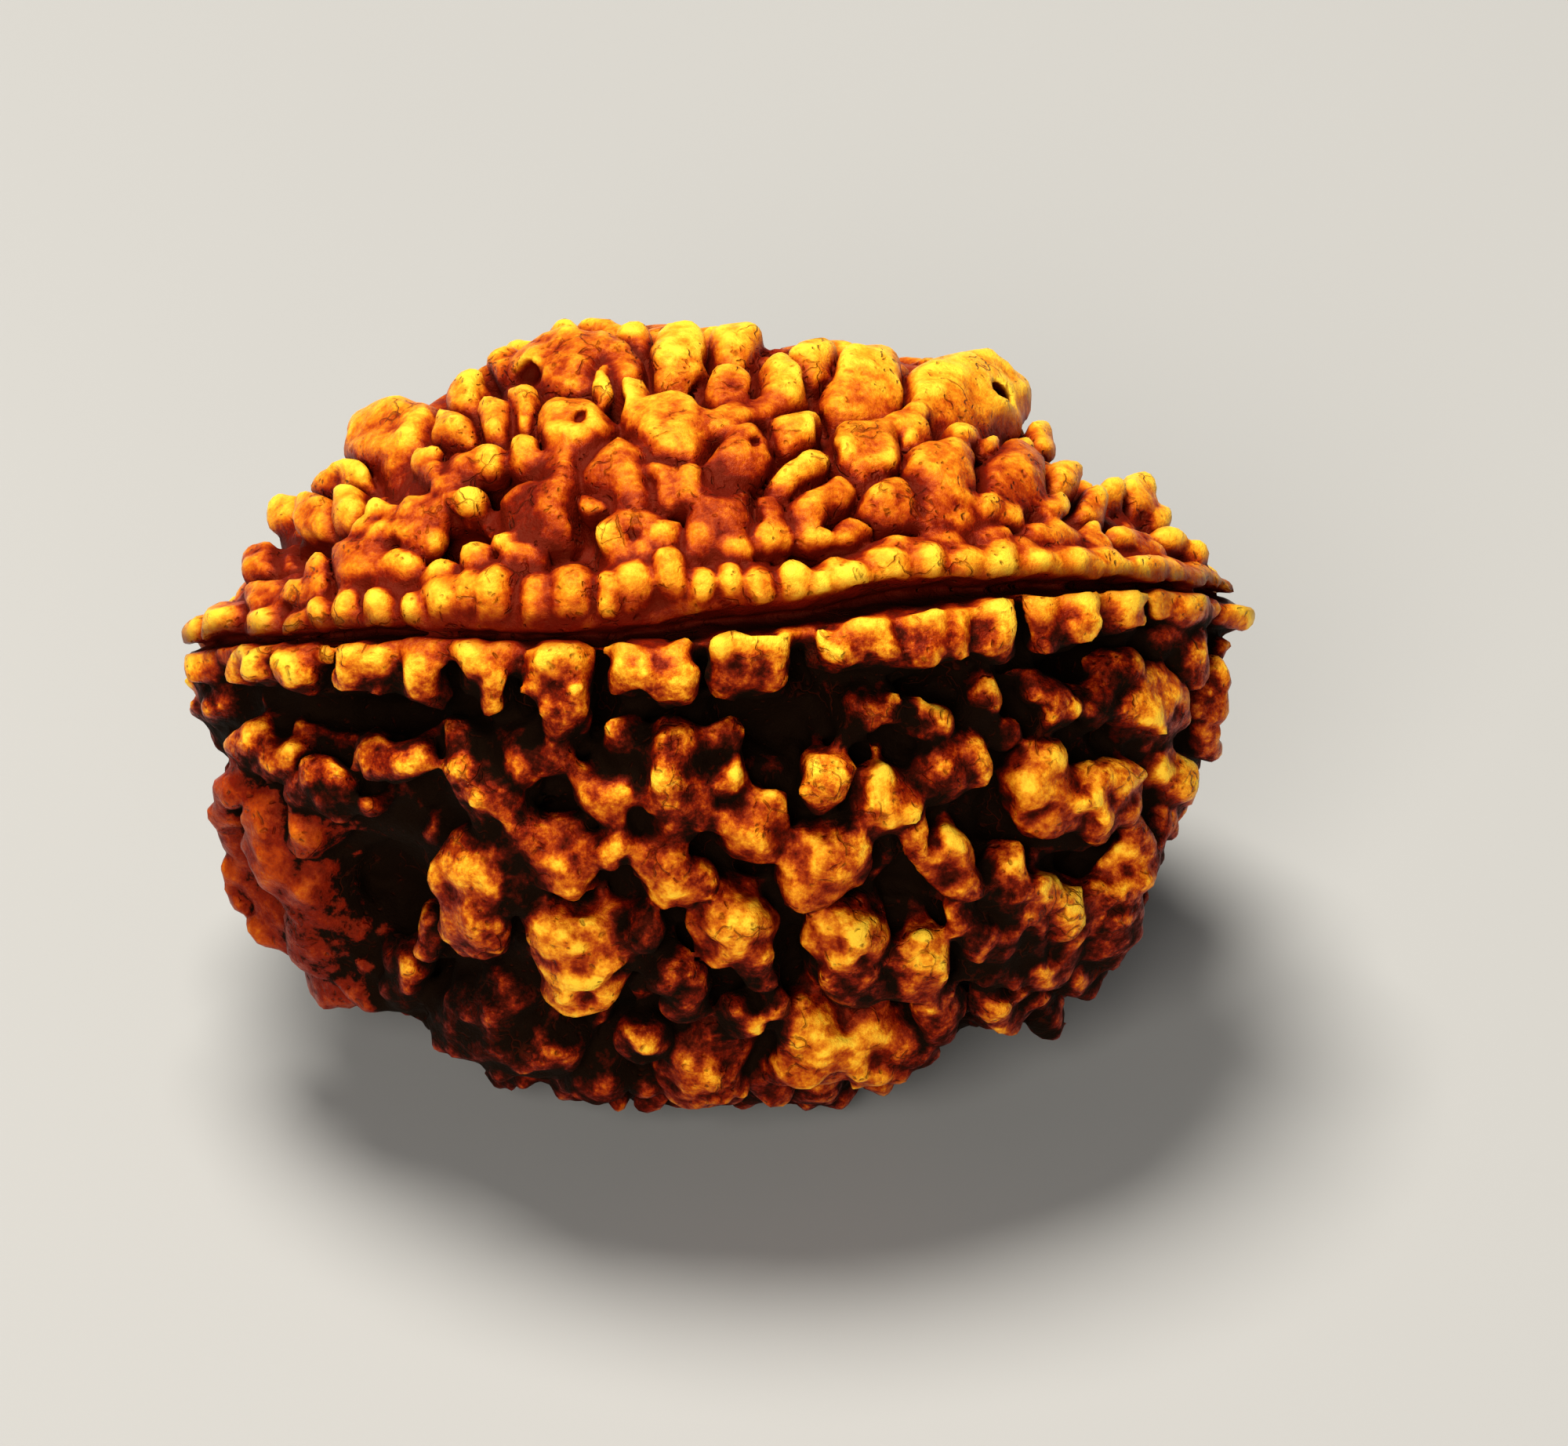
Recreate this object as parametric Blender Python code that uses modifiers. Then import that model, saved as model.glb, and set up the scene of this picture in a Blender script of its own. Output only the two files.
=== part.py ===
"""Two mukhi rudraksha: the woody nut of one seed pod, two valves that meet in two mukh lines, with the natural hole
from end to end. One piece, modelled in metres at its real size, at rest on the small flat under its lower valve.

The bead's own axes: X along the hole, Y in the plane of the two mukh lines, Z up through the upper valve."""
import math

import bmesh
import bpy
import numpy as np
from mathutils import Vector

# ---------------------------------------------------------------- sizes (millimetres)
HALF_LENGTH = 11.5        # centre to each tip, along the bead's hole axis (X)
RIM_HALF_WIDTH = 9.3      # centre to the ridge that carries each mukh line
RIM_TILT = 35.0           # degrees that the rim plane leans: near rim up, far rim down
UNIT = 0.01694            # millimetres in one drawing unit

# viewpoint from which the knobs were measured: elevation, turn about Z, distance, and
# the drawing point that the bead's centre falls on
VIEW_ELEVATION = 35.0
VIEW_TURN = 4.1
VIEW_DISTANCE = 160.0
VIEW_POINT = (909.0, 803.0)

# height of each valve over the rim plane, at stations along the bead
VALVE_A = [(-11.5, 0.3), (-10.5, 1.3), (-9.5, 2.4), (-8.0, 3.8), (-6.5, 5.0), (-5.0, 5.8), (-3.0, 6.4),
           (-1.0, 6.6), (1.0, 6.5), (3.0, 6.2), (5.0, 5.7), (6.5, 4.6), (8.0, 3.1), (9.5, 2.2),
           (10.7, 1.1), (11.5, 0.3)]
VALVE_B = [(-11.5, 0.9), (-11.2, 2.0), (-10.5, 3.8), (-9.9, 5.2), (-9.2, 6.2), (-8.5, 7.0), (-7.5, 7.6),
           (-6.5, 8.2), (-5.5, 9.0), (-4.5, 9.6), (-2.0, 10.15), (0.0, 10.3), (2.0, 10.25), (4.0, 9.9),
           (5.5, 9.3), (7.0, 8.7), (8.0, 8.2), (9.0, 7.2), (9.6, 5.9), (10.1, 4.8), (10.6, 3.7),
           (11.1, 1.9), (11.5, 0.7)]
RISE_A, RISE_B = 0.66, 0.5     # how sharply each valve turns in to the rim (0.5 is an ellipse)


def smooth_profile(points):
    xs = np.linspace(-13.0, 13.0, 521)
    ys = np.interp(xs, [p[0] for p in points], [p[1] for p in points])
    k = np.hanning(23)
    k /= k.sum()
    pad = np.concatenate([np.full(11, ys[0]), ys, np.full(11, ys[-1])])
    return xs, np.convolve(pad, k, mode="valid")


XS, HA = smooth_profile(VALVE_A)
_, HB = smooth_profile(VALVE_B)


def rim_width(x, grow=0.0):
    u = np.clip(np.abs(x) / (HALF_LENGTH + grow), 0.0, 1.0)
    return (RIM_HALF_WIDTH + grow) * np.maximum(1.0 - u ** 2.2, 0.0) ** 0.6


def skin(p, grow=0.0):
    """Below 0 inside the almond body that the knob tops touch, about 1 at twice its size."""
    x, y, z = p[..., 0], p[..., 1], p[..., 2]
    w = np.maximum(rim_width(x, grow), 0.05)
    ha = np.maximum(np.interp(x, XS, HA) + grow, 0.05)
    hb = np.maximum(np.interp(x, XS, HB) + grow, 0.05)
    up = z > 0
    h = np.where(up, ha, hb)
    power = np.where(up, 1.0 / RISE_A, 1.0 / RISE_B)
    g = (np.abs(z) / h) ** power + (y / w) ** 2 - 1.0
    over = np.abs(x) - (HALF_LENGTH + grow)
    return np.where(over > 0, 1.0 + over, g)


def skin_normal(p, grow=0.0):
    e = 0.02
    g = np.stack([skin(p + d, grow) - skin(p - d, grow) for d in np.eye(3) * e], axis=-1)
    n = np.linalg.norm(g, axis=-1, keepdims=True)
    return g / np.maximum(n, 1e-9)


# ---------------------------------------------------------------- viewpoint, in the bead's own axes
def view_axes():
    e, t, a = math.radians(VIEW_ELEVATION), math.radians(VIEW_TURN), math.radians(RIM_TILT)
    ahead = np.array([math.sin(t) * math.cos(e), math.cos(t) * math.cos(e), -math.sin(e)])
    right = np.array([math.cos(t), -math.sin(t), 0.0])
    up = np.cross(right, ahead)
    turn = np.array([[1, 0, 0], [0, math.cos(a), -math.sin(a)], [0, math.sin(a), math.cos(a)]])
    return turn @ right, turn @ up, turn @ ahead, turn


RIGHT, UP, AHEAD, WORLD_TO_BEAD = view_axes()
EYE = -AHEAD * VIEW_DISTANCE


def ray(u, v):
    """Direction from the eye through a drawing point."""
    d = (AHEAD * VIEW_DISTANCE + RIGHT * (u - VIEW_POINT[0]) * UNIT - UP * (v - VIEW_POINT[1]) * UNIT)
    return d / np.linalg.norm(d)


def hit(u, v, grow=0.0):
    """First point of the almond body under a drawing point, or the nearest one to it."""
    d = ray(u, v)
    t = np.arange(VIEW_DISTANCE - 16.0, VIEW_DISTANCE + 16.0, 0.04)
    p = EYE + t[:, None] * d
    g = skin(p, grow)
    inside = np.nonzero(g < 0)[0]
    i = inside[0] if len(inside) else int(np.argmin(g))
    return p[i], t[i]


def project(p):
    q = p - EYE
    depth = q @ AHEAD
    s = VIEW_DISTANCE / (depth * UNIT)
    return VIEW_POINT[0] + (q @ RIGHT) * s, VIEW_POINT[1] - (q @ UP) * s

# ---------------------------------------------------------------- the rest of the sizes (millimetres)
REST_AT = (-0.05, 0.674, 9.33)     # the bead's centre over the surface that it rests on
RELIEF_UPPER = 0.80              # how far the woody body lies under the knob tops of each valve
RELIEF_LOWER = 1.2
HOLE_DIAMETER = 2.1
HOLE_LEFT = (-14.0, 0.3, 0.05)   # two points on the hole's axis
HOLE_RIGHT = (14.0, 0.3, -0.55)
LINE_DEPTH = 1.3                 # how deep each mukh line runs in from its ridge
LINE_LEAST = 0.14                # its least half width in this solid
FAR_LINE = 0.05                  # height of the far mukh line over the rim plane
FUSE_STEP = 0.22                 # step at which the knobs and the body grow into one skin
LEAST_KNOB = 0.28                # knobs and pits with a smaller half width are left to the finish
LEAST_PIT = 0.3
TRIANGLES = 12000
SLIM = 0.92                      # knobs are a little slimmer than drawn, so that the gaps stay open at this step

# ---------------------------------------------------------------- the knobs, in drawing units seen from the viewpoint
# Knobs of the upper valve: across, down, width, height, turn (degrees, anticlockwise)
KNOBS_A = [
    # skyline, left to right
    (598, 505, 38, 62, 0), (652, 470, 30, 50, 30), (674, 450, 46, 26, 0), (697, 474, 20, 48, 0),
    (722, 444, 52, 52, 0), (765, 434, 58, 44, 0), (808, 444, 44, 52, 0), (738, 468, 150, 96, 0), (736, 480, 28, 34, 0),
    (866, 458, 62, 92, 0), (931, 445, 54, 62, 0), (934, 494, 50, 56, 0), (996, 488, 52, 72, -15),
    (1040, 466, 58, 56, 0), (1110, 490, 92, 106, 0), (1236, 502, 140, 100, 0),
    # second row
    (503, 556, 106, 88, 0), (581, 545, 54, 42, 0), (632, 532, 44, 56, 0), (666, 520, 40, 60, 0),
    (734, 546, 90, 88, 0), (766, 498, 24, 100, 0), (811, 512, 22, 50, 0), (852, 550, 98, 94, 0),
    (930, 533, 62, 24, 25), (978, 514, 56, 26, 18), (1014, 549, 66, 42, 10), (1106, 576, 80, 90, 0),
    (1152, 534, 52, 22, 20), (1168, 554, 52, 38, 0), (1263, 571, 30, 30, 0), (1222, 556, 40, 26, 0),
    # third row
    (546, 584, 34, 30, 0), (590, 598, 40, 32, 0), (618, 588, 32, 30, 0), (575, 630, 36, 32, 0),
    (602, 642, 28, 24, 0), (556, 608, 28, 24, 0), (675, 582, 42, 54, 0), (711, 603, 38, 56, 0),
    (790, 602, 100, 88, 0), (836, 602, 78, 34, 0), (853, 628, 26, 46, 0), (940, 590, 108, 60, 45),
    (1015, 610, 108, 46, 42), (1198, 598, 98, 88, 0), (1290, 612, 70, 92, 0), (1324, 560, 30, 50, 0),
    # fourth row
    (440, 622, 62, 36, 25), (408, 660, 44, 40, 0), (448, 655, 28, 50, 0), (374, 664, 34, 40, 0),
    (500, 655, 34, 22, 0), (541, 653, 56, 30, 0), (487, 681, 50, 22, 0), (536, 682, 50, 36, 0),
    (694, 650, 88, 84, 0), (760, 646, 50, 40, 0), (806, 648, 40, 34, 0), (922, 652, 78, 92, 0),
    (878, 625, 26, 46, 0), (1045, 642, 108, 54, 35), (986, 656, 40, 60, 35), (1134, 642, 76, 62, 0),
    (1188, 656, 38, 46, 0), (1226, 660, 36, 46, 0), (1258, 655, 34, 30, 0), (1284, 664, 26, 24, 0),
    (1354, 620, 42, 42, 0), (1337, 655, 44, 24, 35), (1348, 690, 46, 28, 0), (1386, 646, 36, 40, 0),
    (1447, 643, 34, 54, 0), (1471, 668, 26, 26, 0), (1437, 691, 52, 20, 0), (1488, 696, 34, 24, -30),
    (1412, 636, 26, 28, 0), (1318, 690, 26, 24, 0), (1385, 683, 24, 24, 0),
    # fifth row, above the upper lip
    (336, 724, 38, 46, 0), (346, 762, 54, 34, 0), (386, 757, 32, 26, 0), (467, 724, 82, 62, 0),
    (414, 734, 30, 42, 0), (563, 735, 46, 28, 35), (520, 722, 34, 28, 0), (610, 710, 34, 28, 0),
    (672, 716, 48, 36, 0), (648, 695, 30, 24, 0), (786, 704, 28, 66, 20), (808, 674, 80, 34, 0),
    (850, 700, 30, 60, 0), (820, 712, 26, 30, 0), (900, 700, 36, 36, 0), (938, 706, 44, 26, 0),
    (985, 694, 50, 30, 10), (1089, 684, 52, 38, 0), (1040, 690, 44, 26, 0), (1146, 700, 96, 36, -5),
    (1200, 698, 50, 34, 0), (1260, 690, 44, 24, 0), (1300, 706, 34, 26, 0), (1395, 700, 40, 22, 0),
    (1462, 706, 40, 22, -20), (1515, 715, 30, 22, -30),
]

# Bumps of the upper lip
LIP_A = [
    (262, 806, 40, 26, 20), (300, 789, 74, 38, 10), (345, 795, 50, 30, 0), (385, 793, 38, 28, 0),
    (416, 781, 38, 34, 0), (450, 774, 36, 36, 0), (490, 778, 46, 44, 0), (532, 775, 40, 36, 0),
    (575, 758, 62, 56, 15), (606, 752, 40, 50, 0), (640, 756, 56, 62, -15), (684, 757, 40, 56, 0),
    (730, 752, 56, 62, 0), (774, 758, 34, 50, 0), (808, 750, 52, 56, 0), (854, 732, 48, 64, 0),
    (895, 745, 34, 36, 0), (932, 744, 40, 42, 0), (968, 745, 38, 42, 0), (1010, 742, 50, 44, 0),
    (1078, 737, 74, 42, 0), (1045, 744, 40, 34, 0), (1130, 722, 60, 40, 8), (1178, 715, 60, 42, 0),
    (1225, 716, 50, 38, 0), (1268, 715, 56, 40, 0), (1318, 718, 56, 36, 0), (1362, 720, 50, 34, 0),
    (1400, 718, 52, 32, 0), (1440, 722, 46, 28, 0), (1480, 726, 46, 28, -10), (1518, 736, 44, 26, -15),
    (1552, 750, 36, 20, -20),
]

# Long blocks of the lower lip, parted by gaps: across, down, width, height, turn
LONG_B = [
    (275, 855, 66, 26, -2), (365, 851, 112, 34, 0), (502, 852, 138, 38, 0), (628, 850, 70, 38, 0),
    (712, 858, 88, 56, 0), (830, 858, 102, 58, 0), (956, 846, 112, 64, 3), (1088, 826, 106, 44, 7),
    (1160, 818, 100, 46, 7), (1240, 808, 104, 54, 4), (1350, 794, 90, 46, 2), (1415, 786, 82, 38, 0),
    (1500, 784, 66, 30, 0), (1560, 786, 60, 26, -4),
]

# Blocks of the lower lip: left, right, top, bottom
LIP_B = [
    (240, 300, 843, 868), (292, 362, 836, 872), (352, 424, 832, 872), (431, 476, 829, 866),
    (468, 522, 829, 868), (514, 574, 829, 896), (592, 664, 829, 868), (618, 658, 834, 906),
    (668, 757, 829, 884), (690, 752, 850, 932), (779, 828, 827, 892), (826, 882, 822, 896),
    (900, 960, 814, 884), (948, 1011, 814, 888), (1034, 1090, 806, 850), (1080, 1146, 800, 850),
    (1136, 1200, 790, 846), (1190, 1240, 781, 838), (1230, 1292, 778, 838), (1306, 1350, 768, 832),
    (1340, 1396, 766, 812), (1386, 1456, 766, 808), (1466, 1530, 766, 799), (1518, 1590, 770, 798),
]

# Knobs of the lower valve that lie deep under its lip
SHADED_B = [
    (268, 900, 52, 46, 0), (246, 890, 30, 56, 0), (470, 945, 40, 26, 0), (640, 945, 70, 40, 0),
    (590, 950, 34, 60, 20), (700, 960, 60, 50, 0), (650, 985, 44, 44, 0), (748, 922, 40, 36, 0),
    (800, 950, 40, 60, 20), (930, 945, 40, 40, 0), (1000, 930, 50, 40, 0), (1098, 914, 42, 58, 0),
    (1189, 928, 44, 44, 0), (1150, 900, 36, 34, 0), (1240, 960, 34, 40, 0), (1262, 901, 34, 54, 0),
    (1290, 935, 40, 44, 0), (1340, 880, 40, 34, 0), (1362, 913, 40, 40, 0), (1409, 905, 40, 40, 0),
    (1440, 860, 40, 40, 0), (1500, 820, 50, 34, 0), (462, 1030, 40, 26, -20), (545, 1210, 24, 60, 0),
]

# Knobs of the lower valve, in rows from the lip down
KNOBS_B = [
    (862, 960, 60, 60, 0), (1476, 905, 78, 80, 0), (1520, 850, 34, 60, 0), (1548, 862, 24, 50, 0),
    (1541, 900, 38, 28, 0), (1540, 946, 32, 52, 0), (318, 948, 40, 36, 0), (350, 971, 46, 44, -20),
    (384, 1008, 34, 36, 0), (415, 990, 60, 26, -35), (425, 1018, 52, 30, -25),
    (488, 980, 34, 36, 0), (514, 975, 60, 46, 0), (462, 965, 24, 44, -15), (600, 992, 46, 38, -30),
    (625, 1030, 70, 90, 20), (655, 1070, 40, 56, 0), (760, 1012, 44, 48, 0), (794, 1026, 66, 70, 0),
    (862, 1012, 72, 98, 10), (926, 995, 34, 40, 0), (958, 1056, 70, 80, 15), (1054, 1000, 56, 62, 0),
    (1134, 1026, 78, 80, -25), (1212, 990, 70, 70, 0), (1246, 968, 40, 60, 10), (1345, 1012, 80, 98, 0),
    (1402, 1028, 38, 96, 10), (1434, 1012, 46, 70, 0), (1498, 1002, 58, 64, 0), (1487, 1056, 34, 36, 0),
    (1464, 1088, 30, 70, 15), (604, 1120, 84, 84, 0), (606, 1185, 70, 80, 0), (718, 1100, 74, 74, 0),
    (836, 1096, 60, 66, 0), (858, 1132, 60, 52, -20), (888, 1122, 34, 50, 0), (786, 1082, 30, 44, 0),
    (1040, 1110, 88, 80, 25), (1085, 1090, 40, 56, 0), (1214, 1098, 62, 72, 0), (1182, 1068, 30, 40, 0),
    (1290, 1128, 50, 60, 0), (1318, 1152, 48, 56, 0), (1441, 1112, 32, 58, 0), (1428, 1162, 46, 82, 0),
    (1404, 1196, 44, 76, 0), (1362, 1184, 48, 100, 0), (1340, 1140, 40, 40, 0), (1250, 1120, 34, 40, 0),
    (510, 1252, 54, 68, 0), (737, 1205, 124, 84, 0), (730, 1252, 92, 76, 0),
    (934, 1190, 100, 76, 0), (968, 1226, 44, 76, 0), (1080, 1200, 90, 70, 0), (1098, 1250, 70, 60, 0),
    (1152, 1243, 32, 60, 0), (1186, 1235, 50, 80, 0), (1198, 1290, 42, 64, 0), (1270, 1222, 72, 80, 0),
    (1330, 1240, 42, 50, 0), (1278, 1286, 60, 46, 0), (1312, 1200, 50, 48, 0), (1232, 1180, 40, 46, 0),
    (820, 1186, 44, 40, 0), (660, 1140, 30, 50, 0), (1372, 1252, 44, 44, 0), (608, 1300, 100, 92, 0),
    (660, 1332, 96, 70, 0), (650, 1372, 54, 36, 0), (706, 1340, 60, 60, 0), (762, 1368, 70, 60, 0),
    (818, 1330, 54, 46, 0), (872, 1272, 52, 62, 0), (850, 1240, 40, 50, 0), (900, 1362, 108, 96, 0),
    (940, 1300, 44, 50, 0), (985, 1378, 56, 60, 0), (990, 1300, 30, 60, 0), (1034, 1338, 84, 100, 0),
    (1112, 1342, 84, 96, 0), (575, 1290, 44, 60, 0), (830, 1392, 44, 36, 0), (1172, 1330, 40, 36, 0),
    (1330, 1292, 40, 34, 0),
]

# The smooth plate along the lower left edge: across, down, width, height, turn
PLATE_B = [
    (306, 1000, 40, 60, -25), (306, 1052, 44, 84, 0), (345, 1070, 60, 110, 15), (330, 1110, 60, 80, 20),
    (376, 1125, 60, 130, 25), (360, 1170, 56, 80, 35), (410, 1195, 70, 110, 35), (430, 1240, 80, 56, -30),
    (476, 1245, 56, 56, -30), (385, 1060, 34, 60, 10),
]

# Pits between the knobs, which leave the knobs whole: across, down, width, height, turn, depth (millimetres)
PITS = [
    (966, 462, 30, 44, 0, 0.9), (1163, 470, 30, 44, 0, 0.9), (580, 516, 30, 36, 0, 0.9), (828, 430, 16, 30, 0, 0.7),
    (788, 526, 16, 62, 0, 1.4), (840, 643, 44, 32, 0, 1.4), (628, 632, 44, 60, -25, 1.5),
    (575, 702, 130, 62, -8, 1.6), (1055, 500, 14, 26, 0, 1.0), (1298, 634, 24, 18, 0, 0.5),
    (1286, 684, 22, 18, 0, 0.9), (1412, 668, 34, 38, 0, 1.3), (470, 657, 28, 44, 0, 1.1), (718, 703, 48, 40, 0, 1.3),
    (588, 721, 20, 16, 0, 0.8), (394, 707, 64, 50, 0, 1.4), (808, 700, 26, 34, 0, 1.0), (1020, 714, 54, 22, 0, 1.1),
    (1225, 690, 22, 18, 0, 0.7), (428, 640, 26, 24, 0, 0.6), (745, 690, 30, 20, 0, 0.9), (886, 665, 18, 50, 0, 1.0),
    (1160, 660, 14, 46, 0, 0.9), (1240, 632, 14, 40, 0, 1.0), (1375, 672, 26, 20, 0, 0.9), (545, 705, 40, 40, 0, 1.4),
    (525, 600, 20, 26, 0, 0.7), (645, 612, 26, 40, 0, 1.2), (1500, 712, 18, 12, 0, 0.6), (430, 908, 300, 62, 0, 2.0),
    (586, 905, 60, 60, 0, 1.6), (672, 938, 40, 30, 0, 1.3), (800, 980, 18, 120, 24, 1.4), (985, 925, 186, 96, 0, 1.8),
    (848, 920, 110, 36, 0, 1.5), (1166, 884, 150, 54, 0, 1.8), (1400, 850, 150, 66, 0, 1.9),
    (1330, 860, 60, 60, 0, 1.6), (1510, 880, 22, 70, 0, 1.2), (1420, 940, 90, 40, 0, 1.5),
    (490, 1142, 136, 150, 15, 2.6), (440, 1078, 84, 56, -20, 1.8), (703, 1037, 52, 56, 0, 1.9),
    (740, 975, 60, 30, 0, 1.4), (540, 1010, 50, 60, 0, 1.5), (955, 1114, 64, 66, 0, 1.9),
    (1012, 1228, 48, 118, 0, 2.0), (905, 1062, 30, 90, 20, 1.4), (1008, 1050, 36, 60, 0, 1.5),
    (1090, 1060, 44, 60, 0, 1.4), (1150, 1130, 90, 60, 0, 1.7), (1270, 1050, 60, 76, 0, 1.8),
    (1376, 1106, 96, 56, 0, 1.9), (1220, 1170, 60, 50, 0, 1.4), (1300, 1080, 40, 40, 0, 1.4),
    (1320, 1190, 30, 34, 0, 1.0), (800, 1300, 60, 60, 0, 1.8), (690, 1160, 50, 26, 0, 1.4),
    (775, 1130, 34, 60, 0, 1.5), (870, 1200, 50, 60, 0, 1.7), (560, 1240, 50, 60, 0, 1.6),
    (700, 1290, 60, 20, 0, 1.2), (930, 1265, 30, 40, 0, 1.3), (1145, 1310, 26, 70, 0, 1.4),
    (1230, 1300, 40, 60, 0, 1.5), (1480, 960, 50, 24, 0, 1.3), (1462, 1040, 22, 40, 0, 1.1),
    (1136, 1180, 24, 60, 0, 1.3), (1395, 1130, 60, 20, 0, 1.3), (565, 1060, 34, 60, 0, 1.3),
    (660, 1105, 36, 40, 0, 1.3), (845, 1378, 40, 40, 0, 1.4), (930, 1395, 22, 40, 0, 1.0),
    (310, 985, 46, 22, 20, 1.2), (345, 925, 70, 30, -30, 1.4), (1075, 965, 120, 26, 0, 1.5),
    (1180, 960, 26, 60, 0, 1.3),
]

# Narrow gaps that cut the knobs and lips too
GAPS = [
    (672, 482, 38, 28, 0, 0.9), (743, 530, 20, 16, 0, 0.4), (893, 500, 9, 70, -8, 1.2), (968, 566, 16, 14, 0, 0.5),
    (1053, 543, 12, 66, 0, 1.3), (1202, 546, 22, 26, 0, 1.0), (1266, 509, 26, 40, 0, 0.9), (648, 537, 14, 12, 0, 0.4),
    (672, 527, 14, 12, 0, 0.4), (865, 480, 12, 14, 0, 0.3), (585, 868, 22, 70, 0, 1.3), (661, 890, 16, 60, 0, 1.0),
    (766, 890, 20, 110, 0, 1.5), (890, 860, 16, 60, 0, 1.1), (1022, 860, 28, 100, 0, 1.6),
    (1300, 806, 14, 80, 0, 1.2), (1461, 795, 12, 60, 0, 1.0), (428, 848, 10, 50, 0, 0.8), (816, 1052, 26, 26, 0, 1.0),
    (660, 1200, 24, 90, 0, 1.5), (985, 1330, 20, 80, 0, 1.5), (1200, 1070, 12, 12, 0, 0.5),
]

# The mukh line on the near ridge: across, down, half width
SLIT = [
    (233, 828, 7), (280, 818, 7), (340, 816, 6), (420, 812, 7), (480, 807, 8), (560, 808, 8), (640, 812, 8),
    (780, 812, 10), (840, 806, 13), (900, 796, 16), (960, 791, 18), (1030, 783, 18), (1130, 762, 20), (1200, 755, 20),
    (1300, 750, 12), (1392, 747, 10), (1480, 748, 9), (1571, 760, 7), (1590, 768, 6),
]

# The bead's outline in the drawing
OUTLINE = [
    (228, 828), (262, 795), (300, 770), (318, 740), (335, 700), (358, 650), (395, 618), (440, 598), (458, 560),
    (480, 525), (515, 512), (550, 522), (580, 530), (590, 490), (610, 472), (640, 462), (660, 440), (700, 425),
    (750, 412), (800, 418), (830, 432), (850, 415), (880, 413), (900, 425), (920, 412), (945, 425), (965, 470),
    (985, 458), (1015, 450), (1040, 440), (1100, 437), (1140, 450), (1160, 480), (1190, 465), (1240, 450),
    (1290, 465), (1310, 500), (1312, 550), (1330, 590), (1360, 605), (1400, 630), (1430, 615), (1460, 630),
    (1480, 660), (1510, 700), (1550, 730), (1590, 768), (1588, 800), (1570, 850), (1560, 900), (1555, 960),
    (1530, 1000), (1520, 1040), (1490, 1060), (1478, 1110), (1460, 1140), (1450, 1200), (1420, 1240), (1370, 1270),
    (1310, 1300), (1270, 1308), (1220, 1290), (1210, 1330), (1150, 1350), (1145, 1390), (1100, 1405), (1000, 1400),
    (950, 1405), (890, 1415), (840, 1400), (760, 1400), (640, 1390), (560, 1350), (540, 1300), (470, 1280),
    (400, 1240), (340, 1160), (310, 1110), (290, 1060), (290, 1000), (310, 960), (270, 930), (235, 900), (232, 870),
]

SEEN_DEPTH = 0.2          # the drawn outlines are taken this far under the knob tops
MOST_SLOPE = 1.2          # how far a knob's side may run back with the skin
SKYLINE_DROP = 8          # how much lower the upper rows of knobs are set, as they bulge over their outlines
HIDDEN_SEED = 2
AWAY_DROP = 0.35          # how much lower the valves lie on the side turned away from the viewpoint


def turned(angle):
    """The drawing's across and up axes, turned anticlockwise."""
    c, s = math.cos(math.radians(angle)), math.sin(math.radians(angle))
    return RIGHT * c + UP * s, UP * c - RIGHT * s


def turned_away(n):
    """0 where the skin faces the viewpoint, 1 soon after it turns away."""
    return np.clip((n @ AHEAD) * 4.0 + 0.2, 0.0, 1.0)


def knob(c, rows, kind, power, **more):
    """A rounded block: its centre, and the vectors from there to the middles of three of its faces."""
    rows = np.array(rows, float)
    return dict(c=np.array(c, float), rows=rows, inv=np.linalg.inv(rows), kind=kind, power=power,
                size=float(np.sort(np.linalg.norm(rows, axis=1))[1]), **more)


def drawn(u, v, du, dv, turn, sink, deep, kind, power, scale=1.0):
    """A block with the drawn outline that faces the viewpoint."""
    a, b = du * UNIT / 2, dv * UNIT / 2
    centre, t = hit(u, v, -sink * deep)
    k = t / VIEW_DISTANCE * scale
    ax, up = turned(turn)
    return knob(centre, [ax * a * k, up * b * k, AHEAD * deep], kind, power)


def seated(u, v, du, dv, turn, sink, kind, power, deep=None, scale=1.0):
    """A knob with the drawn outline that sits on the body, its sides running along the skin."""
    a, b = du * UNIT / 2, dv * UNIT / 2
    d = deep if deep is not None else min(max(0.5 * (a + b), 0.35), 1.0)
    p, t = hit(u, v, -SEEN_DEPTH)
    n = skin_normal(p)
    down = -(n @ AHEAD)
    k = t / VIEW_DISTANCE * scale
    rows = []
    for e, half in zip(turned(turn), (a * k, b * k)):
        s = np.clip((n @ e) / max(down, 0.2), -MOST_SLOPE, MOST_SLOPE)
        rows.append((e + AHEAD * s) * half)
    rows.append(n * d)
    sink *= 0.65 + 0.35 * min(1.0, max(down, 0.0) / 0.5)
    return knob(p - n * (sink * d - SEEN_DEPTH), rows, kind, power)


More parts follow.
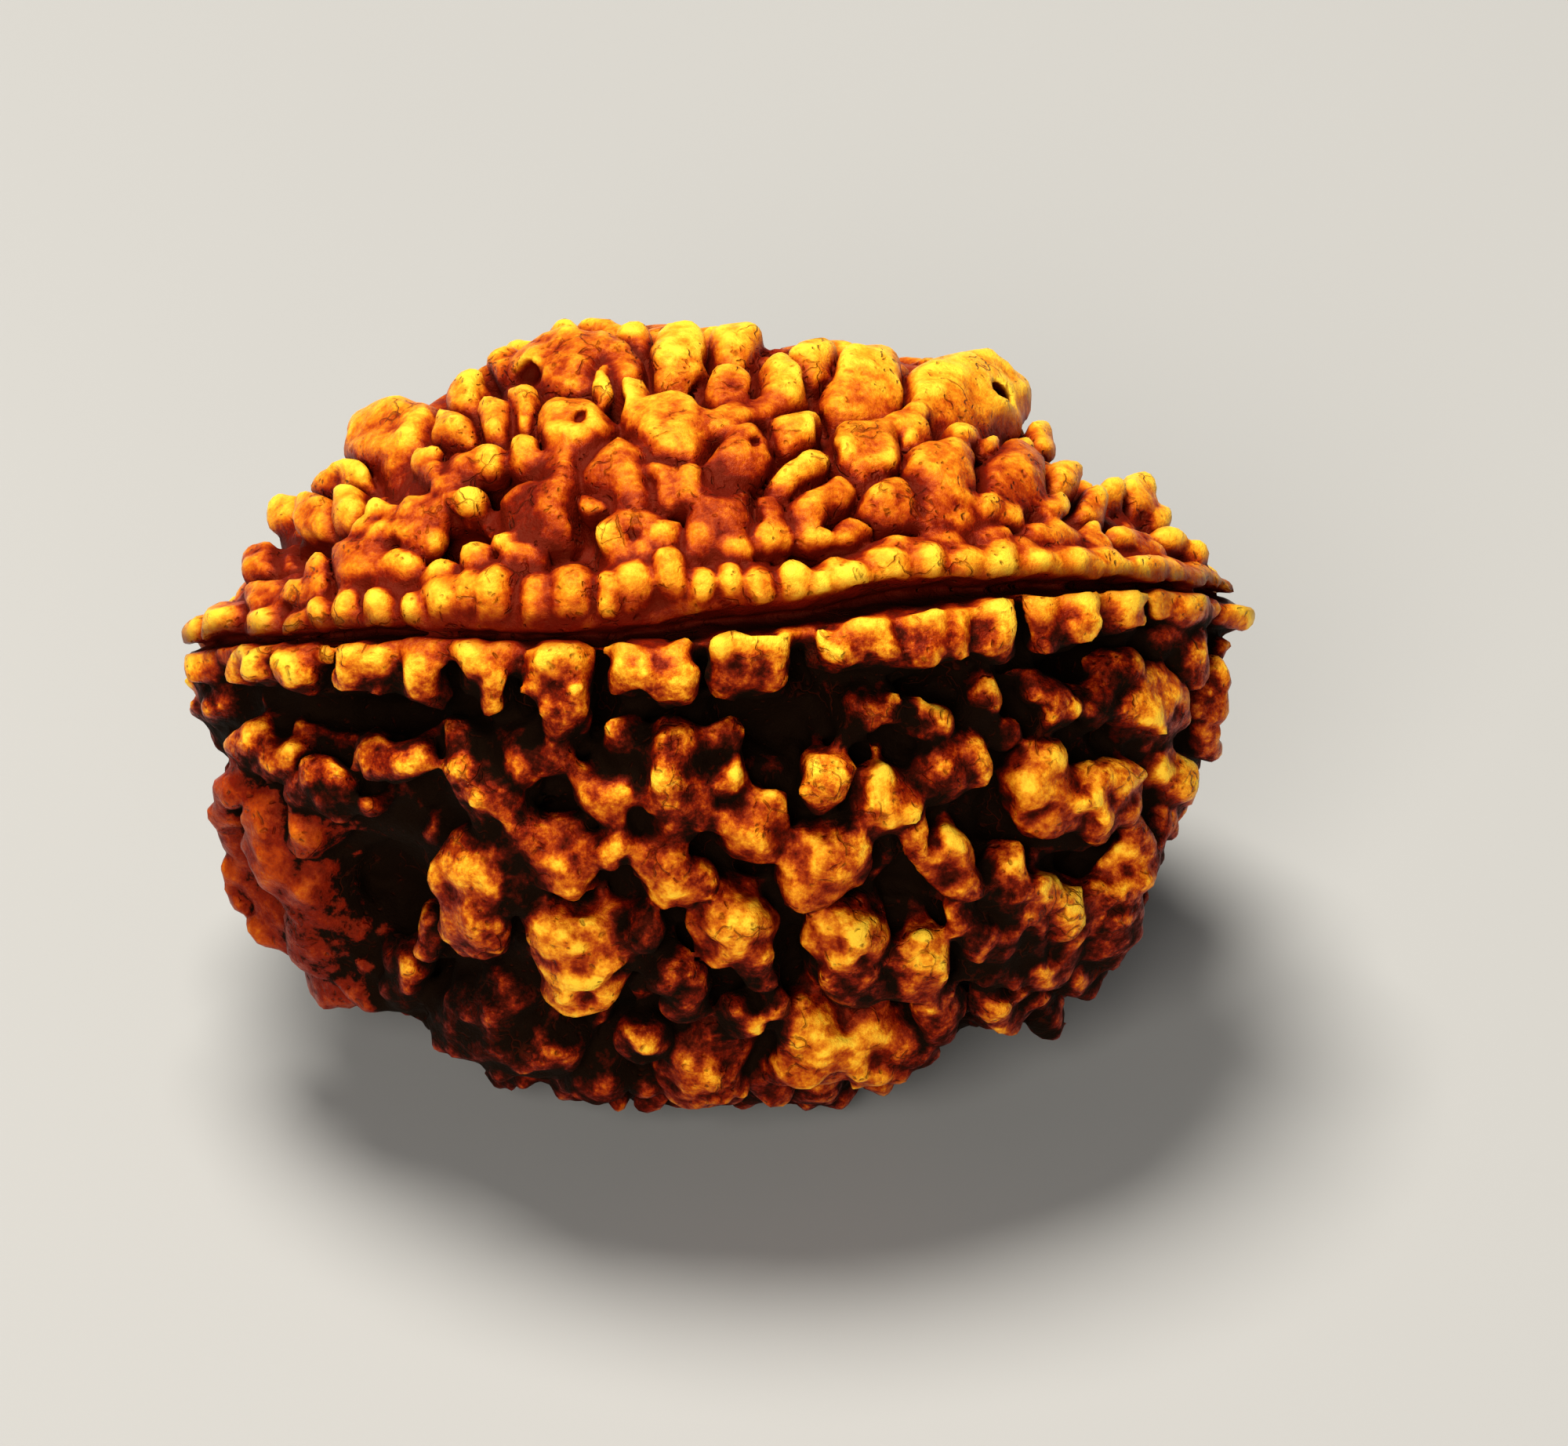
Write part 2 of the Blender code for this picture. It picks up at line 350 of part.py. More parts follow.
def visible_knobs():
    out = []
    for u, v, du, dv, turn in KNOBS_A:
        v += SKYLINE_DROP * min(1.0, max(0.0, (620 - v) / 60))
        out.append(seated(u, v, du, dv, turn, 0.85, "a", 2.6, scale=1.17 if du + dv > 90 else 1.12))
    for u, v, du, dv, turn in LIP_A:
        out.append(drawn(u, v + 4, du, dv + 10, turn, 0.45, 0.75, "lip_a", 2.6, scale=1.06))
    for u, v, du, dv, turn in LONG_B:
        out.append(drawn(u, v - 8, du, dv + 16, turn, 0.62, 0.85, "lip_b", 4.5))
    for x0, x1, y0, y1 in LIP_B:
        out.append(drawn((x0 + x1) / 2, (y0 + y1) / 2 - 6, x1 - x0, y1 - y0 + 12, 0, 0.5, 0.85, "lip_b", 2.8,
                         scale=1.02))
    for u, v, du, dv, turn in SHADED_B:
        out.append(seated(u, v, du, dv, turn, 1.5, "b", 2.3, scale=1.1))
    for u, v, du, dv, turn in KNOBS_B:
        out.append(seated(u, v, du, dv, turn, 0.8, "b", 2.4, scale=1.1))
    for u, v, du, dv, turn in PLATE_B:
        out.append(seated(u, v, du, dv, turn, 0.9, "plate", 2.2, deep=0.8, scale=1.1))
    return out


def on_skin(directions, grow=0.0):
    """Points of the body's skin in the given directions from its centre."""
    lo, hi = np.zeros(len(directions)), np.full(len(directions), 16.0)
    for _ in range(26):
        mid = (lo + hi) / 2
        inside = skin(directions * mid[:, None], grow) < 0
        lo, hi = np.where(inside, mid, lo), np.where(inside, hi, mid)
    return directions * lo[:, None]


def spiral(n):
    i = np.arange(n) + 0.5
    z = 1 - 2 * i / n
    r = np.sqrt(1 - z * z)
    t = i * math.pi * (3 - math.sqrt(5))
    return np.stack([z, r * np.cos(t), r * np.sin(t)], axis=1)


def slit_points():
    """The near mukh line as (x, height over the rim plane, half width) in millimetres."""
    out = []
    for u, v, w in SLIT:
        p, t = hit(u, v, 0.0)
        out.append((p[0], p[2], w * UNIT * t / VIEW_DISTANCE))
    return out


LINE = slit_points()


def line_at(x, side):
    """Height over the rim plane and half width of the mukh line, near (side -1) or far (side 1)."""
    xs, zs, ws = zip(*LINE)
    if side > 0:
        return FAR_LINE + 0.12 * np.sin(x * 0.7), np.interp(x, xs, ws) * 0.7
    return np.interp(x, xs, zs), np.interp(x, xs, ws)


def rim_frame(x, side):
    """A point on the rim's outline with its directions along, up and out."""
    slope = float(rim_width(np.array(x + 0.1)) - rim_width(np.array(x - 0.1))) / 0.2 * side
    along = np.array([1.0, slope, 0.0])
    along /= np.linalg.norm(along)
    up = np.array([0.0, 0.0, 1.0])
    out = np.cross(up, along) * side
    return np.array([x, side * float(rim_width(np.array(x))), 0.0]), np.stack([along, up, out])


def ridges():
    """The four lips: a low unbroken ridge on each side of each mukh line, under its blocks and bumps."""
    out = []
    for side in (-1, 1):
        for x in np.arange(-11.0, 11.01, 0.4):
            p, axes = rim_frame(x, side)
            z, w = line_at(x, side)
            for valve, half, name, back in ((1, 0.30, "lip_a", 0.80), (-1, 0.32, "lip_b", 0.62)):
                c = p - axes[2] * back + axes[1] * (z + valve * (w + half * 0.6))
                out.append(knob(c, axes * np.array([[0.5], [half], [0.62]]), name, 2.6, ridge=True))
    return out


def room_inside(u, v):
    """How far a drawing point lies inside the bead's outline, below 0 outside it."""
    a = np.array(OUTLINE, float)
    b = np.roll(a, -1, axis=0)
    p = np.array([u, v], float)
    ab = b - a
    t = np.clip(((p - a) * ab).sum(1) / (ab ** 2).sum(1), 0, 1)
    near = np.sqrt(((a + ab * t[:, None] - p) ** 2).sum(1)).min()
    cross = (a[:, 1] > v) != (b[:, 1] > v)
    at = a[:, 0] + (v - a[:, 1]) / np.where(ab[:, 1] == 0, 1e-9, ab[:, 1]) * ab[:, 0]
    return near if (cross & (at > u)).sum() % 2 else -near


def hidden_knobs(seen):
    """Knobs of the same kinds over the rest of the two valves, and the lips of the far mukh line."""
    rng = np.random.RandomState(HIDDEN_SEED)
    out = []
    # blocks on the lips of the far mukh line
    for name, valve, half, gap in (("lip_a", 1, 0.42, 0.04), ("lip_b", -1, 0.44, 0.16)):
        x = -10.9
        while x < 10.9:
            w = rng.uniform(0.9, 1.7) if abs(x) < 9 else rng.uniform(0.6, 0.9)
            xc = x + w / 2
            p, axes = rim_frame(xc, 1)
            z, lw = line_at(xc, 1)
            h = half * rng.uniform(0.9, 1.25)
            rows = axes * np.array([[w / 2 * 1.1 / max(abs(axes[0][0]), 0.5)], [h], [0.8]])
            out.append(knob(p - axes[2] * 0.4 + axes[1] * (z + valve * (lw + h * 0.9)), rows, name, 2.9))
            x += w + gap * rng.uniform(0.6, 1.6)
    pts = on_skin(spiral(3600))
    nor = skin_normal(pts)
    facing = -(nor @ AHEAD)
    order = rng.permutation(len(pts))
    inside = [room_inside(*project(p)) if -0.6 < f < 0.35 else 99.0 for p, f in zip(pts, facing)]
    kept_c = [k["c"] for k in seen] + [k["c"] for k in out]
    kept_r = [k["size"] for k in seen] + [0.55] * len(out)
    # full knobs where the drawing shows none, then small ones in what is left
    for turn in range(3):
        for i in order:
            p, n = pts[i], nor[i]
            upper = p[2] > 0
            if abs(p[0]) > 11.15:
                continue
            near_rim = abs(p[2]) < (1.3 if upper else 1.9)
            if facing[i] > 0.35 or (facing[i] > -0.05 and inside[i] > 9):
                continue
            if near_rim and turn == 0:
                continue
            if turn == 0:
                r = rng.uniform(0.62, 0.98) if upper else rng.uniform(0.6, 0.95)
                room = 0.84 if upper else 1.0
            elif turn == 1:
                r, room = rng.uniform(0.36, 0.5), 0.88
            else:
                r, room = rng.uniform(0.22, 0.34), 0.92
            r *= 0.75 + 0.25 * min(1.0, (11.5 - abs(p[0])) / 3.0)
            stretch = rng.uniform(1.0, 1.45)
            spin = rng.uniform(0, math.pi)
            tall = max(r, 0.5)
            down = tall * (0.8 if turn == 0 else 0.95) + AWAY_DROP * float(turned_away(n))
            # a top that would show outside the drawn outline is lowered until it doesn't
            if facing[i] > -0.6:
                over = max(-room_inside(*project(p + n * (tall - down + 0.05) + RIGHT * r * side))
                           for side in (-0.75, 0.0, 0.75)) * UNIT - 0.03
                if over > 0.5:
                    continue
                down += max(over, 0.0)
            d = np.linalg.norm(np.array(kept_c) - (p - n * r * 0.8), axis=1)
            if (d < room * (np.array(kept_r) + r)).any():
                continue
            t1 = np.cross(n, [0.3, 0.2, 0.93])
            t1 /= np.linalg.norm(t1)
            t2 = np.cross(n, t1)
            c, s = math.cos(spin), math.sin(spin)
            rr = np.array([r * stretch, r / stretch ** 0.5, tall])
            rows = np.stack([t1 * c + t2 * s, t2 * c - t1 * s, n]) * rr[:, None]
            out.append(knob(p - n * down, rows, "a" if upper else "b", 2.3, small=turn > 0))
            kept_c.append(out[-1]["c"])
            kept_r.append(r)
    return out


def pits():
    out = []
    for u, v, du, dv, turn, deep in (PITS + GAPS):
        p, t = hit(u, v, 0.0)
        k = t / VIEW_DISTANCE
        ax, up = turned(turn)
        rows = [ax * du * UNIT / 2 * k, up * dv * UNIT / 2 * k, AHEAD * deep]
        out.append(knob(p - AHEAD * 0.35 + AHEAD * (deep - 0.35) * 0.3, rows, "pit", 2.4,
                        through=(u, v, du, dv, turn, deep) in GAPS))
    return out


# ---------------------------------------------------------------- building
def clear():
    for ob in list(bpy.data.objects):
        bpy.data.objects.remove(ob, do_unlink=True)


def to_world(p):
    """From the bead's own axes, in millimetres, to the scene, in metres, at rest on Z = 0."""
    return (np.asarray(p) @ WORLD_TO_BEAD + np.array(REST_AT)) * 0.001


def unit_ball():
    ball = bmesh.new()
    bmesh.ops.create_icosphere(ball, subdivisions=2, radius=1.0)
    mesh = bpy.data.meshes.new("unit_ball")
    ball.to_mesh(mesh)
    ball.free()
    return mesh


def add_ball(bm, knob, ball, slim=1.0):
    """One knob: an icosphere pushed out towards a rounded block, sized, turned and placed."""
    mesh = ball.copy()
    q = np.array([v.co for v in mesh.vertices])
    q = q / ((np.abs(q) ** knob["power"]).sum(axis=1) ** (1.0 / knob["power"]))[:, None]
    mesh.vertices.foreach_set("co", to_world(knob["c"] + (q * (slim, slim, 1.0)) @ knob["rows"]).ravel())
    bm.from_mesh(mesh)
    bpy.data.meshes.remove(mesh)


def new_object(name, bm, collection):
    mesh = bpy.data.meshes.new(name)
    bm.to_mesh(mesh)
    bm.free()
    ob = bpy.data.objects.new(name, mesh)
    collection.objects.link(ob)
    return ob


def apply_all(ob):
    """Leaves the object with its modifiers' result as its mesh."""
    bpy.context.view_layer.update()
    graph = bpy.context.evaluated_depsgraph_get()
    mesh = bpy.data.meshes.new_from_object(ob.evaluated_get(graph), preserve_all_data_layers=False, depsgraph=graph)
    old = ob.data
    ob.modifiers.clear()
    ob.data = mesh
    mesh.name = ob.name
    bpy.data.meshes.remove(old)


def cut(ob, cutter):
    m = ob.modifiers.new("cut_" + cutter.name, "BOOLEAN")
    m.operation, m.solver, m.object = "DIFFERENCE", "EXACT", cutter
    apply_all(ob)


def least_half(block):
    """The smaller half width of a block, seen from outside."""
    return float(np.linalg.norm(block["rows"][:2], axis=1).min())


def core(bm):
    """The woody body under the knobs: a sphere drawn out to the almond, set in by the relief."""
    made = bmesh.ops.create_uvsphere(bm, u_segments=72, v_segments=48, radius=1.0)
    verts = made["verts"]
    d = np.array([v.co for v in verts])
    d = d[:, [2, 0, 1]]                      # poles on the hole axis
    d /= np.linalg.norm(d, axis=1, keepdims=True)
    p = np.where(d[:, 2:] > 0, on_skin(d, -RELIEF_UPPER), on_skin(d, -RELIEF_LOWER))
    n = skin_normal(p)
    p = p - n * (AWAY_DROP * turned_away(n))[:, None]
    for vert, q in zip(verts, p):
        vert.co = to_world(q)


def wedge(name, points, side, collection):
    """The mukh line: a thin wedge that follows the ridge, from outside it to LINE_DEPTH under it."""
    bm = bmesh.new()
    xs = np.linspace(-11.9, 11.9, 60)
    zs = np.interp(xs, [p[0] for p in points], [p[1] for p in points])
    ws = np.interp(xs, [p[0] for p in points], [p[2] for p in points])
    made = bmesh.ops.create_cube(bm, size=2.0)
    bmesh.ops.subdivide_edges(bm, edges=[e for e in bm.edges if abs((e.verts[0].co - e.verts[1].co).x) > 1.0],
                              cuts=58)
    for vert in bm.verts:
        i = int(round((vert.co.x + 1.0) / 2.0 * 59))
        x, z, w = xs[i], zs[i], max(ws[i], LINE_LEAST)
        y = float(rim_width(np.array(x)))
        outer = vert.co.y > 0
        yy = y + 1.2 if outer else max(y - LINE_DEPTH, 0.0)
        half = w * 1.25 if outer else w * 0.5
        vert.co = to_world(np.array([x, side * yy, z + half * (1.0 if vert.co.z > 0 else -1.0)]))
    if side < 0:
        bmesh.ops.reverse_faces(bm, faces=bm.faces[:])
    return new_object(name, bm, collection)


def material():
    mat = bpy.data.materials.new("oiled_seed_wood")
    mat.use_nodes = True
    shader = mat.node_tree.nodes["Principled BSDF"]
    shader.inputs["Base Color"].default_value = (0.47, 0.125, 0.012, 1.0)
    shader.inputs["Roughness"].default_value = 0.42
    shader.inputs["Metallic"].default_value = 0.0
    mat.diffuse_color = (0.47, 0.125, 0.012, 1.0)
    return mat


def main():
    clear()
    scene = bpy.context.scene
    part = bpy.data.collections.new("two_mukhi_rudraksha")
    tools = bpy.data.collections.new("cutters")
    scene.collection.children.link(part)
    scene.collection.children.link(tools)

    seen = visible_knobs()
    knobs = seen + ridges() + hidden_knobs(seen)

    ball = unit_ball()
    holes = [pit for pit in pits() if least_half(pit) >= LEAST_PIT]
    cutters = {}
    for name, through in (("pits", False), ("gaps", True)):
        bm = bmesh.new()
        for pit in holes:
            if pit["through"] == through:
                add_ball(bm, pit, ball)
        cutters[name] = new_object(name, bm, tools)
        fuse = cutters[name].modifiers.new("one_body", "REMESH")
        fuse.mode, fuse.voxel_size, fuse.adaptivity = "VOXEL", FUSE_STEP * 0.001, 0.0
        apply_all(cutters[name])

    # the pits run into the body only, so they are cut before the knobs grow on it
    bm = bmesh.new()
    core(bm)
    body = new_object("body", bm, tools)
    cut(body, cutters["pits"])
    bm = bmesh.new()
    bm.from_mesh(body.data)
    for knob in knobs:
        if least_half(knob) >= LEAST_KNOB and not knob.get("small"):
            add_ball(bm, knob, ball, 1.0 if knob["kind"].startswith("lip") else SLIM)
    bead = new_object("rudraksha_bead", bm, part)
    fuse = bead.modifiers.new("grown_together", "REMESH")
    fuse.mode, fuse.voxel_size, fuse.adaptivity = "VOXEL", FUSE_STEP * 0.001, 0.0
    apply_all(bead)
    cut(bead, cutters["gaps"])

    near = LINE
    far = [(x, *line_at(x, 1)) for x, z, w in near]
    for name, points, side in (("near_line", near, -1), ("far_line", far, 1)):
        cut(bead, wedge(name, points, side, tools))

    again = bead.modifiers.new("even_out", "REMESH")
    again.mode, again.voxel_size, again.adaptivity = "VOXEL", FUSE_STEP * 0.001, 0.0
    soft = bead.modifiers.new("soften", "SMOOTH")
    soft.factor, soft.iterations = 0.5, 2
    thin = bead.modifiers.new("fewer_faces", "DECIMATE")
    thin.ratio = 0.1
    bpy.context.view_layer.update()
    faces = 0
    graph = bpy.context.evaluated_depsgraph_get()
    probe = bead.evaluated_get(graph).data
    faces = sum(len(p.vertices) - 2 for p in probe.polygons)
    thin.ratio = min(1.0, 0.1 * TRIANGLES / max(faces, 1))
    apply_all(bead)

    # the hole along the bead, and the flat that it rests on
    bm = bmesh.new()
    bmesh.ops.create_cone(bm, cap_ends=True, segments=20, radius1=HOLE_DIAMETER * 0.0005, radius2=HOLE_DIAMETER * 0.0005,
                          depth=0.030)
    hole = new_object("hole", bm, tools)
    a, b = Vector(to_world(HOLE_LEFT)), Vector(to_world(HOLE_RIGHT))
    hole.location = (a + b) / 2
    hole.rotation_mode = "QUATERNION"
    hole.rotation_quaternion = (b - a).to_track_quat("Z", "Y")
    cut(bead, hole)

    bm = bmesh.new()
    bmesh.ops.create_cube(bm, size=0.04)
    ground = new_object("ground", bm, tools)
    ground.location = (0, 0, -0.02)
    cut(bead, ground)

    # keep the one grown body, without crumbs that a cut left loose
    bm = bmesh.new()
    bm.from_mesh(bead.data)
    bmesh.ops.dissolve_degenerate(bm, dist=0.000001, edges=bm.edges[:])
    todo, groups = set(bm.verts), []
    while todo:
        start = todo.pop()
        group, stack = {start}, [start]
        while stack:
            for edge in stack.pop().link_edges:
                for vert in edge.verts:
                    if vert in todo:
                        todo.discard(vert)
                        group.add(vert)
                        stack.append(vert)
        groups.append(group)
    groups.sort(key=len)
    crumbs = [v for group in groups[:-1] for v in group]
    bmesh.ops.delete(bm, geom=crumbs, context="VERTS")
    bmesh.ops.triangulate(bm, faces=bm.faces[:])
    bmesh.ops.recalc_face_normals(bm, faces=bm.faces[:])
    bm.to_mesh(bead.data)
    bm.free()

    bead.data.materials.clear()
    bead.data.materials.append(material())
    bpy.data.meshes.remove(ball)
    for ob in tools.objects:
        ob.hide_render = True
        ob.display_type = "WIRE"
    co = np.array([v.co for v in bead.data.vertices]) * 1000
    print("bead: %d triangles, box %s to %s mm" % (len(bead.data.polygons), co.min(0).round(2), co.max(0).round(2)))


main()
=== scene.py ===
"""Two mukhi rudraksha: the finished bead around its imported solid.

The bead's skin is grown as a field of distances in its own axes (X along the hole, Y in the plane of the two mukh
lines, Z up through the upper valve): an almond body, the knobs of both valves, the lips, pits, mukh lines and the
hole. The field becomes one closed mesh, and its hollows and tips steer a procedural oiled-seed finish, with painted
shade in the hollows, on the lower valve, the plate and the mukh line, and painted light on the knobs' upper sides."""
import math
import time

import bmesh
import bpy
import numpy as np
from mathutils import Matrix, Vector


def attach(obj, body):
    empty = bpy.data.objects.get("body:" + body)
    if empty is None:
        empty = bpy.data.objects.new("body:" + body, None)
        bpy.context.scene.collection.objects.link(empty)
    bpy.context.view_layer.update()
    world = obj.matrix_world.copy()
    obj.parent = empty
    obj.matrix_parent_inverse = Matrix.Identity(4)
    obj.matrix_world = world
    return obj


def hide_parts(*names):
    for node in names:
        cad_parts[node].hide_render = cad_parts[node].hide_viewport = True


START = time.time()
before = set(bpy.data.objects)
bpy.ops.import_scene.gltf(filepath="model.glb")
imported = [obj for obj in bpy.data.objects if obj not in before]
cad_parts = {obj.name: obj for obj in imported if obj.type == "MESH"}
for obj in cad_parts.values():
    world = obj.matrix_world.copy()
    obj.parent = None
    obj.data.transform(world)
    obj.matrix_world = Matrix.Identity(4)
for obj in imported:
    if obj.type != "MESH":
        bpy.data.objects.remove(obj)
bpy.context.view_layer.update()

# ---------------------------------------------------------------- sizes (millimetres)
HALF_LENGTH = 11.5        # centre to each tip, along the bead's hole axis (X)
RIM_HALF_WIDTH = 9.3      # centre to the ridge that carries each mukh line
RIM_TILT = 35.0           # degrees that the rim plane leans: near rim up, far rim down
UNIT = 0.01694            # millimetres in one drawing unit

# viewpoint from which the knobs were measured: elevation, turn about Z, distance, and
# the drawing point that the bead's centre falls on
VIEW_ELEVATION = 35.0
VIEW_TURN = 4.1
VIEW_DISTANCE = 160.0
VIEW_POINT = (909.0, 803.0)

# height of each valve over the rim plane, at stations along the bead
VALVE_A = [(-11.5, 0.3), (-10.5, 1.3), (-9.5, 2.4), (-8.0, 3.8), (-6.5, 5.0), (-5.0, 5.8), (-3.0, 6.4),
           (-1.0, 6.6), (1.0, 6.5), (3.0, 6.2), (5.0, 5.7), (6.5, 4.6), (8.0, 3.1), (9.5, 2.2),
           (10.7, 1.1), (11.5, 0.3)]
VALVE_B = [(-11.5, 0.9), (-11.2, 2.0), (-10.5, 3.8), (-9.9, 5.2), (-9.2, 6.2), (-8.5, 7.0), (-7.5, 7.6),
           (-6.5, 8.2), (-5.5, 9.0), (-4.5, 9.6), (-2.0, 10.15), (0.0, 10.3), (2.0, 10.25), (4.0, 9.9),
           (5.5, 9.3), (7.0, 8.7), (8.0, 8.2), (9.0, 7.2), (9.6, 5.9), (10.1, 4.8), (10.6, 3.7),
           (11.1, 1.9), (11.5, 0.7)]
RISE_A, RISE_B = 0.66, 0.5     # how sharply each valve turns in to the rim (0.5 is an ellipse)


def smooth_profile(points):
    xs = np.linspace(-13.0, 13.0, 521)
    ys = np.interp(xs, [p[0] for p in points], [p[1] for p in points])
    k = np.hanning(23)
    k /= k.sum()
    pad = np.concatenate([np.full(11, ys[0]), ys, np.full(11, ys[-1])])
    return xs, np.convolve(pad, k, mode="valid")


XS, HA = smooth_profile(VALVE_A)
_, HB = smooth_profile(VALVE_B)


def rim_width(x, grow=0.0):
    u = np.clip(np.abs(x) / (HALF_LENGTH + grow), 0.0, 1.0)
    return (RIM_HALF_WIDTH + grow) * np.maximum(1.0 - u ** 2.2, 0.0) ** 0.6


def skin(p, grow=0.0):
    """Below 0 inside the almond body that the knob tops touch, about 1 at twice its size."""
    x, y, z = p[..., 0], p[..., 1], p[..., 2]
    w = np.maximum(rim_width(x, grow), 0.05)
    ha = np.maximum(np.interp(x, XS, HA) + grow, 0.05)
    hb = np.maximum(np.interp(x, XS, HB) + grow, 0.05)
    up = z > 0
    h = np.where(up, ha, hb)
    power = np.where(up, 1.0 / RISE_A, 1.0 / RISE_B)
    g = (np.abs(z) / h) ** power + (y / w) ** 2 - 1.0
    over = np.abs(x) - (HALF_LENGTH + grow)
    return np.where(over > 0, 1.0 + over, g)


def skin_normal(p, grow=0.0):
    e = 0.02
    g = np.stack([skin(p + d, grow) - skin(p - d, grow) for d in np.eye(3) * e], axis=-1)
    n = np.linalg.norm(g, axis=-1, keepdims=True)
    return g / np.maximum(n, 1e-9)


# ---------------------------------------------------------------- viewpoint, in the bead's own axes
def view_axes():
    e, t, a = math.radians(VIEW_ELEVATION), math.radians(VIEW_TURN), math.radians(RIM_TILT)
    ahead = np.array([math.sin(t) * math.cos(e), math.cos(t) * math.cos(e), -math.sin(e)])
    right = np.array([math.cos(t), -math.sin(t), 0.0])
    up = np.cross(right, ahead)
    turn = np.array([[1, 0, 0], [0, math.cos(a), -math.sin(a)], [0, math.sin(a), math.cos(a)]])
    return turn @ right, turn @ up, turn @ ahead, turn


RIGHT, UP, AHEAD, WORLD_TO_BEAD = view_axes()
EYE = -AHEAD * VIEW_DISTANCE


def ray(u, v):
    """Direction from the eye through a drawing point."""
    d = (AHEAD * VIEW_DISTANCE + RIGHT * (u - VIEW_POINT[0]) * UNIT - UP * (v - VIEW_POINT[1]) * UNIT)
    return d / np.linalg.norm(d)


def hit(u, v, grow=0.0):
    """First point of the almond body under a drawing point, or the nearest one to it."""
    d = ray(u, v)
    t = np.arange(VIEW_DISTANCE - 16.0, VIEW_DISTANCE + 16.0, 0.04)
    p = EYE + t[:, None] * d
    g = skin(p, grow)
    inside = np.nonzero(g < 0)[0]
    i = inside[0] if len(inside) else int(np.argmin(g))
    return p[i], t[i]


def project(p):
    q = p - EYE
    depth = q @ AHEAD
    s = VIEW_DISTANCE / (depth * UNIT)
    return VIEW_POINT[0] + (q @ RIGHT) * s, VIEW_POINT[1] - (q @ UP) * s

# ---------------------------------------------------------------- the rest of the sizes (millimetres)
REST_AT = (-0.05, 0.674, 9.33)     # the bead's centre over the surface that it rests on
RELIEF_UPPER = 0.80              # how far the woody body lies under the knob tops of each valve
RELIEF_LOWER = 1.2
HOLE_DIAMETER = 2.1
HOLE_LEFT = (-14.0, 0.3, 0.05)   # two points on the hole's axis
HOLE_RIGHT = (14.0, 0.3, -0.55)
LINE_DEPTH = 1.3                 # how deep each mukh line runs in from its ridge
LINE_LEAST = 0.14                # its least half width in this solid
FAR_LINE = 0.05                  # height of the far mukh line over the rim plane

